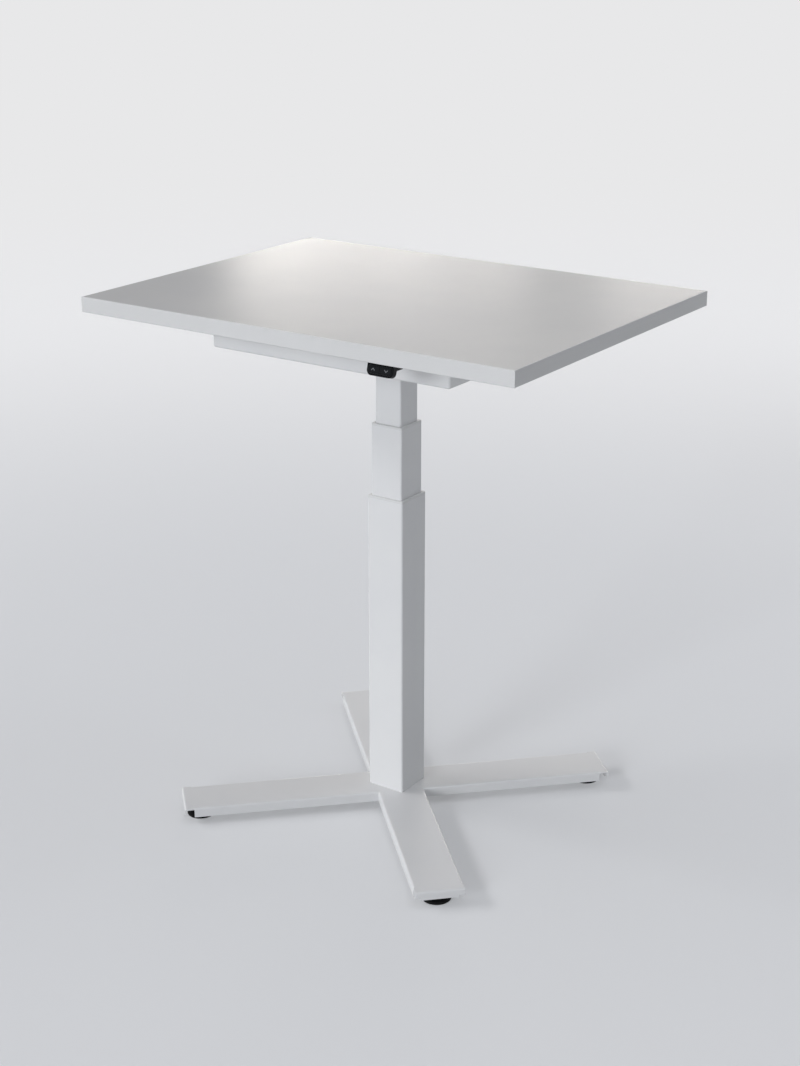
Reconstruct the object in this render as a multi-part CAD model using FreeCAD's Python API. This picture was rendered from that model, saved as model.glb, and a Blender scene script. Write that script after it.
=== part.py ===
import FreeCAD, Part
import math
import os

from FreeCAD import Vector

# Small sit-stand desk: a rectangular top on one three-stage telescopic column with a cross base.
# Millimetres, +Z up, origin on the floor under the column axis, front edge of the top towards -Y.
# The two lifting stages stand partly raised, at a worktop height of 900 mm.

# Clearances
RUNNING_GAP = 0.3        # between pieces that move past each other, on each side
FIT_GAP = 0.1            # between pieces that are fixed in each other, on each side
RETRACTED_GAP = 3.0      # left between the stops of two stages when the column is fully down

# Stages of the column
STAGE_STROKE = 300.0     # full travel of each of the two lifting stages
STAGE_RAISED = 117.0     # how far each stage stands above its lowest place

# Tabletop
TOP_WIDTH = 800.0
TOP_DEPTH = 600.0
TOP_THICKNESS = 25.0
EDGE_BAND = 2.0
EDGE_RADIUS = 1.5

# Cross base of folded sheet
LEG_TOP = 30.0           # top face of the legs above the floor
LEG_REACH = 375.0        # column axis to leg tip
LEG_WIDTH = 80.0
LEG_SHEET = 3.0
LEG_FOLD_RADIUS = 3.4
LEG_FLANGE_DEPTH = 17.0
LEG_FLANGE_SETBACK = 16.0
LEG_TIP_RADIUS = 3.6
LEG_FLAP_DEPTH = 11.0
LEG_TONGUE_WIDTH = 60.0
LEG_TONGUE_DROP = 3.5
HUB_THICKNESS = 5.0
HUB_REACH = 88.0

# Levelling glides
GLIDE_INSET = 30.0       # glide centre behind the leg tip
GLIDE_RADIUS = 24.0
GLIDE_HEIGHT = 9.0
GLIDE_RIM = 5.0          # height of the straight rim of the pad
GLIDE_SHOULDER_RADIUS = 15.0
GLIDE_STUD_RADIUS = 4.0
GLIDE_STUD_CROWN = 1.0   # space between the stud and the leg above it
GLIDE_SOCKET_WIDTH = 15.0  # across the flats of the welded nut
GLIDE_SOCKET_LENGTH = 13.0

# Column tubes
OUTER_TUBE = 70.0
TUBE_WALL = 2.0
TUBE_GAP = 3.0           # room between one tube and the next, filled by the guides
TUBE_CORNER = 3.0
OUTER_LENGTH = 530.0
MIDDLE_LENGTH = 526.0
INNER_LENGTH = 537.0
COLLAR_RIM = 4.0
COLLAR_CHAMFER = 1.0
COLLAR_SKIRT = 40.0
SHOE_LENGTH = 50.0
FOOT_PLATE = 6.0
END_PLUG = 10.0

# Telescopic screw drive on the column axis
SPINDLE_RADIUS = 5.0
SLEEVE_GAP = 0.5         # between the nested tubes of the drive
HOLLOW_SPINDLE_WALL = 3.5
CARRIER_WALL = 2.5
CARRIER_FOOT_WIDTH = 32.0
CARRIER_FOOT = 2.0
SPINDLE_FLANGE = 4.0
LOWER_NUT_LENGTH = 30.0
UPPER_NUT_LENGTH = 20.0
NUT_MARGIN = 12.0        # spindle left inside each nut at full height, beyond the nut itself
CARRIER_RACE = 10.0      # height of the bearing on the middle carrier
DRIVE_RACE = 8.0         # height of the bearing in the spigot
DRIVE_RACE_RADIUS = 11.0
DRIVE_COLLAR = 5.0
DRIVE_COLLAR_RADIUS = 8.0
DRIVE_STUB = 40.0        # shaft end of the drive spindle inside the gearbox

# Fasteners
M8_RADIUS = 4.0
M5_RADIUS = 2.5
M4_RADIUS = 2.0
CLEARANCE_HOLE = 0.5     # added to a screw's radius where it passes through
HEAD_RATIO = 1.6         # width of a hexagon head over the screw's diameter
HEAD_HEIGHT_RATIO = 1.1  # head height over screw radius
COLUMN_BOLT_SPACING = 40.0
COLUMN_BOLT_END = 1.0    # bolt end below the top of the foot plate

# Gearbox, motor and head plate
HEAD_PLATE = 6.0
HEAD_PLATE_MARGIN = 10.0
HEAD_PLATE_CORNER = 12.0
GEARBOX_HEIGHT = 41.0
GEARBOX_SIDE = 66.0
GEARBOX_CORNER = 10.0
GEARBOX_FLANGE = 5.0
GEARBOX_BOLT_X = 36.0
GEARBOX_BOLT_REAR = 42.0
GEARBOX_BOLT_FRONT = 60.0
GEARBOX_EAR = 10.0       # flange around each bolt
GEARBOX_RIB = 5.0
SPIGOT_LENGTH = 25.0
WORM_OFFSET = 30.0       # worm shaft in front of the column axis
WORM_RADIUS = 16.0
WORM_HALF_LENGTH = 44.0
WORM_DROP = 23.0         # worm shaft below the top of the gearbox
MOTOR_RADIUS = 18.0
MOTOR_FLANGE = 4.0
MOTOR_LENGTH = 86.0
MOTOR_EDGE = 2.0
MOTOR_CAP_LENGTH = 14.0
MOTOR_CAP_STEP = 1.5

# Support tray under the top
TRAY_LENGTH = 450.0
TRAY_DEPTH = 380.0
TRAY_HEIGHT = 55.0
TRAY_SHEET = 3.0
TRAY_FOLD_RADIUS = 4.0
TRAY_LIP = 14.0
TRAY_SCREW_MARGIN = 28.0  # screw centres inside the tray's outer faces
TRAY_SCREW_GRIP = 16.0    # screw length in the top
TRAY_SLOT_WIDTH = 90.0    # opening for leads in the rear wall
TRAY_SLOT_HEIGHT = 20.0
TRAY_SLOT_CORNER = 5.0

# Control box
BOX_LENGTH = 230.0
BOX_DEPTH = 86.0
BOX_BODY = 28.0
BOX_LID = 5.0
BOX_CORNER = 8.0
BOX_EDGE = 2.0
BOX_GAP = 5.0            # between the head plate and the control box
BOX_EAR_LENGTH = 14.0
BOX_EAR_WIDTH = 24.0
BOX_EAR = 3.0
VENT_COUNT = 7
VENT_PITCH = 9.0
VENT_WIDTH = 3.0
VENT_LENGTH = 46.0
VENT_DEPTH = 2.0
INLET_MARGIN = 37.0      # inlet centre from the left end of the box
INLET_WIDTH = 30.0
INLET_HEIGHT = 18.0
INLET_DEPTH = 16.0
INLET_LIP = 2.0
INLET_WALL = 3.0
INLET_BLADE = 2.0        # thickness of the contact blades
INLET_BLADE_WIDTH = 4.0
INLET_BLADE_SPACING = 7.0
SOCKETS_MARGIN = 63.0    # centre of the lead sockets from the right end of the box
SOCKETS_WIDTH = 66.0
SOCKETS_HEIGHT = 14.0
SOCKETS_DEPTH = 14.0
SOCKET_COUNT = 4
SOCKET_WALL = 2.5
SOCKET_REACH = 10.0

# Handset under the front edge
HANDSET_X = 175.4
HANDSET_SETBACK = 0.5    # lower edge of the face behind the edge of the top
HANDSET_TILT = 15.0      # degrees that the face looks up
HANDSET_WIDTH = 46.0
HANDSET_DROP = 18.0
HANDSET_FRONT = 9.0      # thickness of the front plate
HANDSET_CORNER = 8.0
HANDSET_BODY_DROP = 9.0
HANDSET_DEPTH = 36.0
HANDSET_EDGE = 0.8
BUTTON_SPAN = 40.0       # the two keys together
BUTTON_HEIGHT = 11.6
BUTTON_DROP = 9.4        # button centre below the top's underside
BUTTON_CORNER = 3.0      # outer corners of the pair
BUTTON_DEPTH = 3.6
BUTTON_PROUD = 0.8
BUTTON_EDGE = 0.5
BUTTON_TRAVEL = 0.8
HANDSET_SCREW_SPACING = 28.0
HANDSET_SCREW_GRIP = 12.0

# Heights that follow from the sizes above, from the floor up
LEG_UNDERSIDE = LEG_TOP - LEG_SHEET
HUB_UNDERSIDE = LEG_UNDERSIDE - HUB_THICKNESS
FOOT_PLATE_TOP = LEG_TOP + FOOT_PLATE
OUTER_TOP = LEG_TOP + OUTER_LENGTH
MIDDLE_BOTTOM = FOOT_PLATE_TOP + CARRIER_FOOT + RETRACTED_GAP + STAGE_RAISED
MIDDLE_TOP = MIDDLE_BOTTOM + MIDDLE_LENGTH
PLUG_TOP = MIDDLE_BOTTOM + END_PLUG
INNER_BOTTOM = PLUG_TOP + RETRACTED_GAP + STAGE_RAISED
INNER_TOP = INNER_BOTTOM + INNER_LENGTH
GEARBOX_TOP = INNER_TOP + GEARBOX_HEIGHT
TRAY_UNDERSIDE = GEARBOX_TOP + HEAD_PLATE
TOP_UNDERSIDE = TRAY_UNDERSIDE + TRAY_SHEET
TRAY_BOTTOM = TOP_UNDERSIDE - TRAY_HEIGHT
STAGE_LEFT = STAGE_STROKE - STAGE_RAISED

# Widths that follow from the sizes above
OUTER_BORE = OUTER_TUBE - 2 * TUBE_WALL
MIDDLE_TUBE = OUTER_BORE - 2 * TUBE_GAP
MIDDLE_BORE = MIDDLE_TUBE - 2 * TUBE_WALL
INNER_TUBE = MIDDLE_BORE - 2 * TUBE_GAP
INNER_BORE = INNER_TUBE - 2 * TUBE_WALL
GLIDE_REACH = LEG_REACH - GLIDE_INSET
HOLLOW_BORE = SPINDLE_RADIUS + SLEEVE_GAP
HOLLOW_RADIUS = HOLLOW_BORE + HOLLOW_SPINDLE_WALL
BASE_CARRIER_BORE = 2 * (HOLLOW_RADIUS + SLEEVE_GAP)
BASE_CARRIER = BASE_CARRIER_BORE + 2 * CARRIER_WALL
MIDDLE_CARRIER_BORE = BASE_CARRIER + 2 * SLEEVE_GAP
MIDDLE_CARRIER = MIDDLE_CARRIER_BORE + 2 * CARRIER_WALL

# Places along the screw drive
SPIGOT_BOTTOM = INNER_TOP - SPIGOT_LENGTH
DRIVE_COLLAR_BOTTOM = SPIGOT_BOTTOM - DRIVE_COLLAR
UPPER_NUT_TOP = DRIVE_COLLAR_BOTTOM - STAGE_RAISED - RETRACTED_GAP
UPPER_NUT_BOTTOM = UPPER_NUT_TOP - UPPER_NUT_LENGTH
HOLLOW_FLANGE_BOTTOM = UPPER_NUT_BOTTOM - SPINDLE_FLANGE
MIDDLE_CARRIER_TOP = HOLLOW_FLANGE_BOTTOM - CARRIER_RACE
DRIVE_SPINDLE_BOTTOM = UPPER_NUT_BOTTOM - STAGE_LEFT - NUT_MARGIN
HOLLOW_BOTTOM = MIDDLE_BOTTOM
LOWER_NUT_BOTTOM = HOLLOW_BOTTOM + STAGE_LEFT + NUT_MARGIN
WORM_HEIGHT = GEARBOX_TOP - WORM_DROP

# Places under the top
HEAD_PLATE_REAR = GEARBOX_BOLT_REAR + GEARBOX_EAR + HEAD_PLATE_MARGIN
BOX_CENTRE_Y = HEAD_PLATE_REAR + BOX_GAP + BOX_DEPTH / 2
INLET_X = INLET_MARGIN - BOX_LENGTH / 2
SOCKETS_X = BOX_LENGTH / 2 - SOCKETS_MARGIN

# The four legs in turn, from the first angle round by equal steps, in degrees from +X
LEG_NAMES = ("rear_right", "rear_left", "front_left", "front_right")
FIRST_LEG_ANGLE = 45.0
LEG_STEP_ANGLE = 360.0 / len(LEG_NAMES)


def rounded_rectangle(width, depth, corner, height, x=0.0, y=0.0):
    """Horizontal face with arc corners, centred on (x, y)."""
    a = width / 2
    b = depth / 2
    if corner <= 0:
        corners = [Vector(x + i * a, y + j * b, height) for i, j in ((-1, -1), (1, -1), (1, 1), (-1, 1))]
        return Part.Face(Part.makePolygon(corners + corners[:1]))
    inset = corner * (1 - math.sqrt(0.5))
    edges = []
    ends = []
    for i, j in ((1, 1), (-1, 1), (-1, -1), (1, -1)):
        on_side = Vector(x + i * a, y + j * (b - corner), height)
        on_bend = Vector(x + i * (a - inset), y + j * (b - inset), height)
        on_end = Vector(x + i * (a - corner), y + j * b, height)
        first, last = (on_side, on_end) if i * j > 0 else (on_end, on_side)
        edges.append(Part.Arc(first, on_bend, last).toShape())
        ends.append((first, last))
    for (_, last), (first, _) in zip(ends, ends[1:] + ends[:1]):
        edges.append(Part.LineSegment(last, first).toShape())
    return Part.Face(Part.Wire(Part.__sortEdges__(edges)))


def block(width, depth, corner, bottom, height, x=0.0, y=0.0):
    """Upright prism with rounded vertical edges."""
    return rounded_rectangle(width, depth, corner, bottom, x, y).extrude(Vector(0, 0, height))


def square_ring(outer, outer_corner, bore, bore_corner, bottom, height):
    """Square tube or ring on the column axis."""
    passage = block(bore, bore, bore_corner, bottom, height)
    return block(outer, outer, outer_corner, bottom, height).cut(passage)


def cylinder(radius, bottom, height, x=0.0, y=0.0):
    """Upright cylinder."""
    return Part.makeCylinder(radius, height, Vector(x, y, bottom))


def ring(radius, bore, bottom, height):
    """Round tube or ring on the column axis."""
    return cylinder(radius, bottom, height).cut(cylinder(bore, bottom, height))


def turned(points):
    """Solid of revolution about Z from (radius, height) points of a closed outline."""
    corners = [Vector(radius, 0, height) for radius, height in points]
    return Part.Face(Part.makePolygon(corners + corners[:1])).revolve(Vector(), Vector(0, 0, 1), 360)


def horizontal_cylinder(radius, start_x, length, y, height):
    """Cylinder along +X."""
    return Part.makeCylinder(radius, length, Vector(start_x, y, height), Vector(1, 0, 0))


def polar(radius, angle):
    """Point on the floor at a radius and an angle in degrees from +X."""
    return Vector(radius * math.cos(math.radians(angle)), radius * math.sin(math.radians(angle)), 0)


def hexagon(width, bottom, height, x=0.0, y=0.0):
    """Upright hexagonal prism, width measured across its flats."""
    radius = width / math.sqrt(3)
    corners = [Vector(x, y, bottom) + polar(radius, 60 * i) for i in range(7)]
    return Part.Face(Part.makePolygon(corners)).extrude(Vector(0, 0, height))


def hex_screw(x, y, seat, radius, length):
    """Screw driven upwards, its hexagon head under the seat."""
    head_height = HEAD_HEIGHT_RATIO * radius
    head = hexagon(2 * radius * HEAD_RATIO, seat - head_height, head_height, x, y)
    return head.fuse(cylinder(radius, seat, length, x, y))


def group(solids):
    """Several separate solids kept in one node."""
    return Part.makeCompound(solids)


def square_pattern(spacing):
    """The four corners of a square about the column axis."""
    half = spacing / 2
    return [(i * half, j * half) for i in (-1, 1) for j in (-1, 1)]


def edges_where(shape, test):
    """Edges of a shape whose bounding box passes a test."""
    return [edge for edge in shape.Edges if test(edge.BoundBox)]


# Cross base


def leg_angles():
    """Name and direction of each leg."""
    return [(name, FIRST_LEG_ANGLE + i * LEG_STEP_ANGLE) for i, name in enumerate(LEG_NAMES)]


def leg_channel():
    """Folded length of a leg along +X: a channel with rounded folds, open below."""
    half = LEG_WIDTH / 2
    inner = half - LEG_SHEET
    low = LEG_TOP - LEG_FLANGE_DEPTH
    bend = LEG_TOP - LEG_FOLD_RADIUS
    outer_inset = LEG_FOLD_RADIUS * (1 - math.sqrt(0.5))
    inner_inset = outer_inset + LEG_SHEET * math.sqrt(0.5)

    def at(across, height):
        return Vector(0, across, height)

    edges = [
        Part.LineSegment(at(-half, low), at(-half, bend)),
        Part.Arc(
            at(-half, bend),
            at(outer_inset - half, LEG_TOP - outer_inset),
            at(LEG_FOLD_RADIUS - half, LEG_TOP),
        ),
        Part.LineSegment(at(LEG_FOLD_RADIUS - half, LEG_TOP), at(half - LEG_FOLD_RADIUS, LEG_TOP)),
        Part.Arc(
            at(half - LEG_FOLD_RADIUS, LEG_TOP),
            at(half - outer_inset, LEG_TOP - outer_inset),
            at(half, bend),
        ),
        Part.LineSegment(at(half, bend), at(half, low)),
        Part.LineSegment(at(half, low), at(inner, low)),
        Part.LineSegment(at(inner, low), at(inner, bend)),
        Part.Arc(
            at(inner, bend),
            at(half - inner_inset, LEG_TOP - inner_inset),
            at(half - LEG_FOLD_RADIUS, LEG_UNDERSIDE),
        ),
        Part.LineSegment(
            at(half - LEG_FOLD_RADIUS, LEG_UNDERSIDE),
            at(LEG_FOLD_RADIUS - half, LEG_UNDERSIDE),
        ),
        Part.Arc(
            at(LEG_FOLD_RADIUS - half, LEG_UNDERSIDE),
            at(inner_inset - half, LEG_TOP - inner_inset),
            at(-inner, bend),
        ),
        Part.LineSegment(at(-inner, bend), at(-inner, low)),
        Part.LineSegment(at(-inner, low), at(-half, low)),
    ]
    section = Part.Face(Part.Wire([edge.toShape() for edge in edges]))
    return section.extrude(Vector(LEG_REACH - LEG_FLANGE_SETBACK, 0, 0))


def leg_tip():
    """End of a leg: the top sheet bent down into a flap with a tongue in its middle."""
    half = LEG_WIDTH / 2
    start = LEG_REACH - LEG_FLANGE_SETBACK
    bend = LEG_REACH - LEG_TIP_RADIUS
    low = LEG_TOP - LEG_FLAP_DEPTH - LEG_TONGUE_DROP
    centre = LEG_TOP - LEG_TIP_RADIUS
    outer = LEG_TIP_RADIUS * math.sqrt(0.5)
    inner = (LEG_TIP_RADIUS - LEG_SHEET) * math.sqrt(0.5)

    def at(along, height):
        return Vector(along, -half, height)

    edges = [
        Part.LineSegment(at(start, LEG_TOP), at(bend, LEG_TOP)),
        Part.Arc(at(bend, LEG_TOP), at(bend + outer, centre + outer), at(LEG_REACH, centre)),
        Part.LineSegment(at(LEG_REACH, centre), at(LEG_REACH, low)),
        Part.LineSegment(at(LEG_REACH, low), at(LEG_REACH - LEG_SHEET, low)),
        Part.LineSegment(at(LEG_REACH - LEG_SHEET, low), at(LEG_REACH - LEG_SHEET, centre)),
        Part.Arc(
            at(LEG_REACH - LEG_SHEET, centre),
            at(bend + inner, centre + inner),
            at(bend, LEG_UNDERSIDE),
        ),
        Part.LineSegment(at(bend, LEG_UNDERSIDE), at(start, LEG_UNDERSIDE)),
        Part.LineSegment(at(start, LEG_UNDERSIDE), at(start, LEG_TOP)),
    ]
    tip = Part.Face(Part.Wire([edge.toShape() for edge in edges])).extrude(Vector(0, LEG_WIDTH, 0))
    step = half - LEG_TONGUE_WIDTH / 2
    for side in (-half, half - step):
        notch = Part.makeBox(LEG_TIP_RADIUS, step, LEG_TONGUE_DROP, Vector(bend, side, low))
        tip = tip.cut(notch)
    return tip


def build_legs():
    """Four mitred legs, a reinforcing hub under them and the glide sockets."""
    span = 2 * LEG_REACH
    mitre = Part.Face(Part.makePolygon([Vector(), Vector(span, -span, 0), Vector(span, span, 0), Vector()]))
    leg = leg_channel().fuse(leg_tip()).removeSplitter()
    leg = leg.common(mitre.extrude(Vector(0, 0, LEG_TOP)))
    bolt_reach = COLUMN_BOLT_SPACING / 2 * math.sqrt(2)
    leg = leg.cut(cylinder(M8_RADIUS + CLEARANCE_HOLE, HUB_UNDERSIDE, LEG_TOP, bolt_reach))
    socket_bottom = LEG_UNDERSIDE - GLIDE_SOCKET_LENGTH
    socket = hexagon(GLIDE_SOCKET_WIDTH, socket_bottom, GLIDE_SOCKET_LENGTH, GLIDE_REACH)
    socket = socket.cut(cylinder(GLIDE_STUD_RADIUS + RUNNING_GAP, 0, LEG_UNDERSIDE, GLIDE_REACH))
    nodes = {}
    sockets = []
    for name, angle in leg_angles():
        nodes["leg_" + name] = leg.rotated(Vector(), Vector(0, 0, 1), angle)
        sockets.append(socket.rotated(Vector(), Vector(0, 0, 1), angle))
    nodes["glide_sockets"] = group(sockets)
    arm = LEG_WIDTH - 2 * LEG_FOLD_RADIUS
    hub = block(2 * HUB_REACH, arm, 0, HUB_UNDERSIDE, HUB_THICKNESS)
    hub = hub.fuse(block(arm, 2 * HUB_REACH, 0, HUB_UNDERSIDE, HUB_THICKNESS)).removeSplitter()
    hub = hub.rotated(Vector(), Vector(0, 0, 1), FIRST_LEG_ANGLE)
    for x, y in square_pattern(COLUMN_BOLT_SPACING):
        hub = hub.cut(cylinder(M8_RADIUS + CLEARANCE_HOLE, HUB_UNDERSIDE, HUB_THICKNESS, x, y))
    nodes["hub_plate"] = hub
    return nodes


def build_glides():
    """Round plastic pads on threaded studs, one pair under each leg tip."""
    pad = turned([
        (0, 0),
        (GLIDE_RADIUS, 0),
        (GLIDE_RADIUS, GLIDE_RIM),
        (GLIDE_SHOULDER_RADIUS, GLIDE_HEIGHT),
        (0, GLIDE_HEIGHT),
    ])
    stud = cylinder(GLIDE_STUD_RADIUS, GLIDE_HEIGHT, LEG_UNDERSIDE - GLIDE_STUD_CROWN - GLIDE_HEIGHT)
    nodes = {}
    for name, angle in leg_angles():
        place = polar(GLIDE_REACH, angle)
        nodes["glide_pad_" + name] = pad.translated(place)
        nodes["glide_stud_" + name] = stud.translated(place)
    return nodes


# Column


def guide_collar(tube, tube_bore, slider, tube_top):
    """Plastic guide in the mouth of a tube: a rim on the tube's end and a skirt inside it."""
    bore = slider + 2 * RUNNING_GAP
    bore_corner = TUBE_CORNER + RUNNING_GAP
    rim = block(tube, tube, TUBE_CORNER, tube_top, COLLAR_RIM)
    top = tube_top + COLLAR_RIM
    rim = rim.makeChamfer(COLLAR_CHAMFER, edges_where(rim, lambda box: box.ZMin > top - FIT_GAP))
    skirt_side = tube_bore - 2 * FIT_GAP
    skirt = block(skirt_side, skirt_side, 0, tube_top - COLLAR_SKIRT, COLLAR_SKIRT)
    passage = block(bore, bore, bore_corner, tube_top - COLLAR_SKIRT, COLLAR_SKIRT + COLLAR_RIM)
    return rim.fuse(skirt).removeSplitter().cut(passage)


def guide_shoe(slider, tube_bore, bottom):
    """Plastic shoe round the lower end of a sliding tube."""
    outer = tube_bore - 2 * RUNNING_GAP
    bore = slider + 2 * FIT_GAP
    return square_ring(outer, 0, bore, TUBE_CORNER + FIT_GAP, bottom, SHOE_LENGTH)


def build_column():
    """Three square tubes with their guides, the foot plate and its bolts."""
    plate_side = OUTER_BORE - 2 * FIT_GAP
    plate = block(plate_side, plate_side, 0, LEG_TOP, FOOT_PLATE)
    plug_side = MIDDLE_BORE - 2 * FIT_GAP
    plug = square_ring(plug_side, 0, MIDDLE_CARRIER_BORE, 0, MIDDLE_BOTTOM, END_PLUG)
    bolt_length = FOOT_PLATE_TOP - COLUMN_BOLT_END - HUB_UNDERSIDE
    bolts = []
    for x, y in square_pattern(COLUMN_BOLT_SPACING):
        plate = plate.cut(cylinder(M8_RADIUS + FIT_GAP, LEG_TOP, FOOT_PLATE, x, y))
        bolts.append(hex_screw(x, y, HUB_UNDERSIDE, M8_RADIUS, bolt_length))
    return {
        "outer_tube": square_ring(OUTER_TUBE, TUBE_CORNER, OUTER_BORE, 0, LEG_TOP, OUTER_LENGTH),
        "outer_collar": guide_collar(OUTER_TUBE, OUTER_BORE, MIDDLE_TUBE, OUTER_TOP),
        "middle_tube": square_ring(MIDDLE_TUBE, TUBE_CORNER, MIDDLE_BORE, 0, MIDDLE_BOTTOM, MIDDLE_LENGTH),
        "middle_collar": guide_collar(MIDDLE_TUBE, MIDDLE_BORE, INNER_TUBE, MIDDLE_TOP),
        "middle_guide_shoe": guide_shoe(MIDDLE_TUBE, OUTER_BORE, MIDDLE_BOTTOM),
        "middle_end_plug": plug,
        "inner_tube": square_ring(INNER_TUBE, TUBE_CORNER, INNER_BORE, 0, INNER_BOTTOM, INNER_LENGTH),
        "inner_guide_shoe": guide_shoe(INNER_TUBE, MIDDLE_BORE, INNER_BOTTOM),
        "column_foot_plate": plate,
        "column_bolts": group(bolts),
    }


def build_screw_drive():
    """Nested screws that raise both stages: a driven spindle in a hollow one, with nuts and carriers."""
    nut_bore = HOLLOW_RADIUS + RUNNING_GAP
    flange_radius = MIDDLE_CARRIER / 2
    carrier_length = LOWER_NUT_BOTTOM - FOOT_PLATE_TOP
    base_carrier = square_ring(BASE_CARRIER, 0, BASE_CARRIER_BORE, 0, FOOT_PLATE_TOP, carrier_length)
    foot = square_ring(CARRIER_FOOT_WIDTH, 0, BASE_CARRIER_BORE, 0, FOOT_PLATE_TOP, CARRIER_FOOT)
    lower_nut = block(BASE_CARRIER, BASE_CARRIER, 0, LOWER_NUT_BOTTOM, LOWER_NUT_LENGTH)
    bearing = block(MIDDLE_CARRIER, MIDDLE_CARRIER, 0, MIDDLE_CARRIER_TOP, CARRIER_RACE)
    hollow = turned([
        (HOLLOW_BORE, HOLLOW_BOTTOM),
        (HOLLOW_RADIUS, HOLLOW_BOTTOM),
        (HOLLOW_RADIUS, HOLLOW_FLANGE_BOTTOM),
        (flange_radius, HOLLOW_FLANGE_BOTTOM),
        (flange_radius, UPPER_NUT_BOTTOM),
        (HOLLOW_BORE, UPPER_NUT_BOTTOM),
    ])
    drive = turned([
        (0, DRIVE_SPINDLE_BOTTOM),
        (SPINDLE_RADIUS, DRIVE_SPINDLE_BOTTOM),
        (SPINDLE_RADIUS, DRIVE_COLLAR_BOTTOM),
        (DRIVE_COLLAR_RADIUS, DRIVE_COLLAR_BOTTOM),
        (DRIVE_COLLAR_RADIUS, SPIGOT_BOTTOM),
        (SPINDLE_RADIUS, SPIGOT_BOTTOM),
        (SPINDLE_RADIUS, SPIGOT_BOTTOM + DRIVE_STUB),
        (0, SPIGOT_BOTTOM + DRIVE_STUB),
    ])
    upper_bore = SPINDLE_RADIUS + RUNNING_GAP
    return {
        "base_carrier_tube": base_carrier.fuse(foot).removeSplitter(),
        "lower_spindle_nut": lower_nut.cut(cylinder(nut_bore, LOWER_NUT_BOTTOM, LOWER_NUT_LENGTH)),
        "middle_carrier_tube": square_ring(
            MIDDLE_CARRIER, 0, MIDDLE_CARRIER_BORE, 0, PLUG_TOP, MIDDLE_CARRIER_TOP - PLUG_TOP
        ),
        "carrier_bearing": bearing.cut(cylinder(nut_bore, MIDDLE_CARRIER_TOP, CARRIER_RACE)),
        "hollow_spindle": hollow,
        "upper_spindle_nut": ring(flange_radius, upper_bore, UPPER_NUT_BOTTOM, UPPER_NUT_LENGTH),
        "drive_spindle": drive,
        "drive_bearing": ring(DRIVE_RACE_RADIUS, upper_bore, SPIGOT_BOTTOM, DRIVE_RACE),
    }


# Drive head


def gearbox_bolt_places():
    """Bolts of the gearbox flange, spaced clear of the motor in front."""
    return [(i * GEARBOX_BOLT_X, y) for i in (-1, 1) for y in (-GEARBOX_BOLT_FRONT, GEARBOX_BOLT_REAR)]


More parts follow.
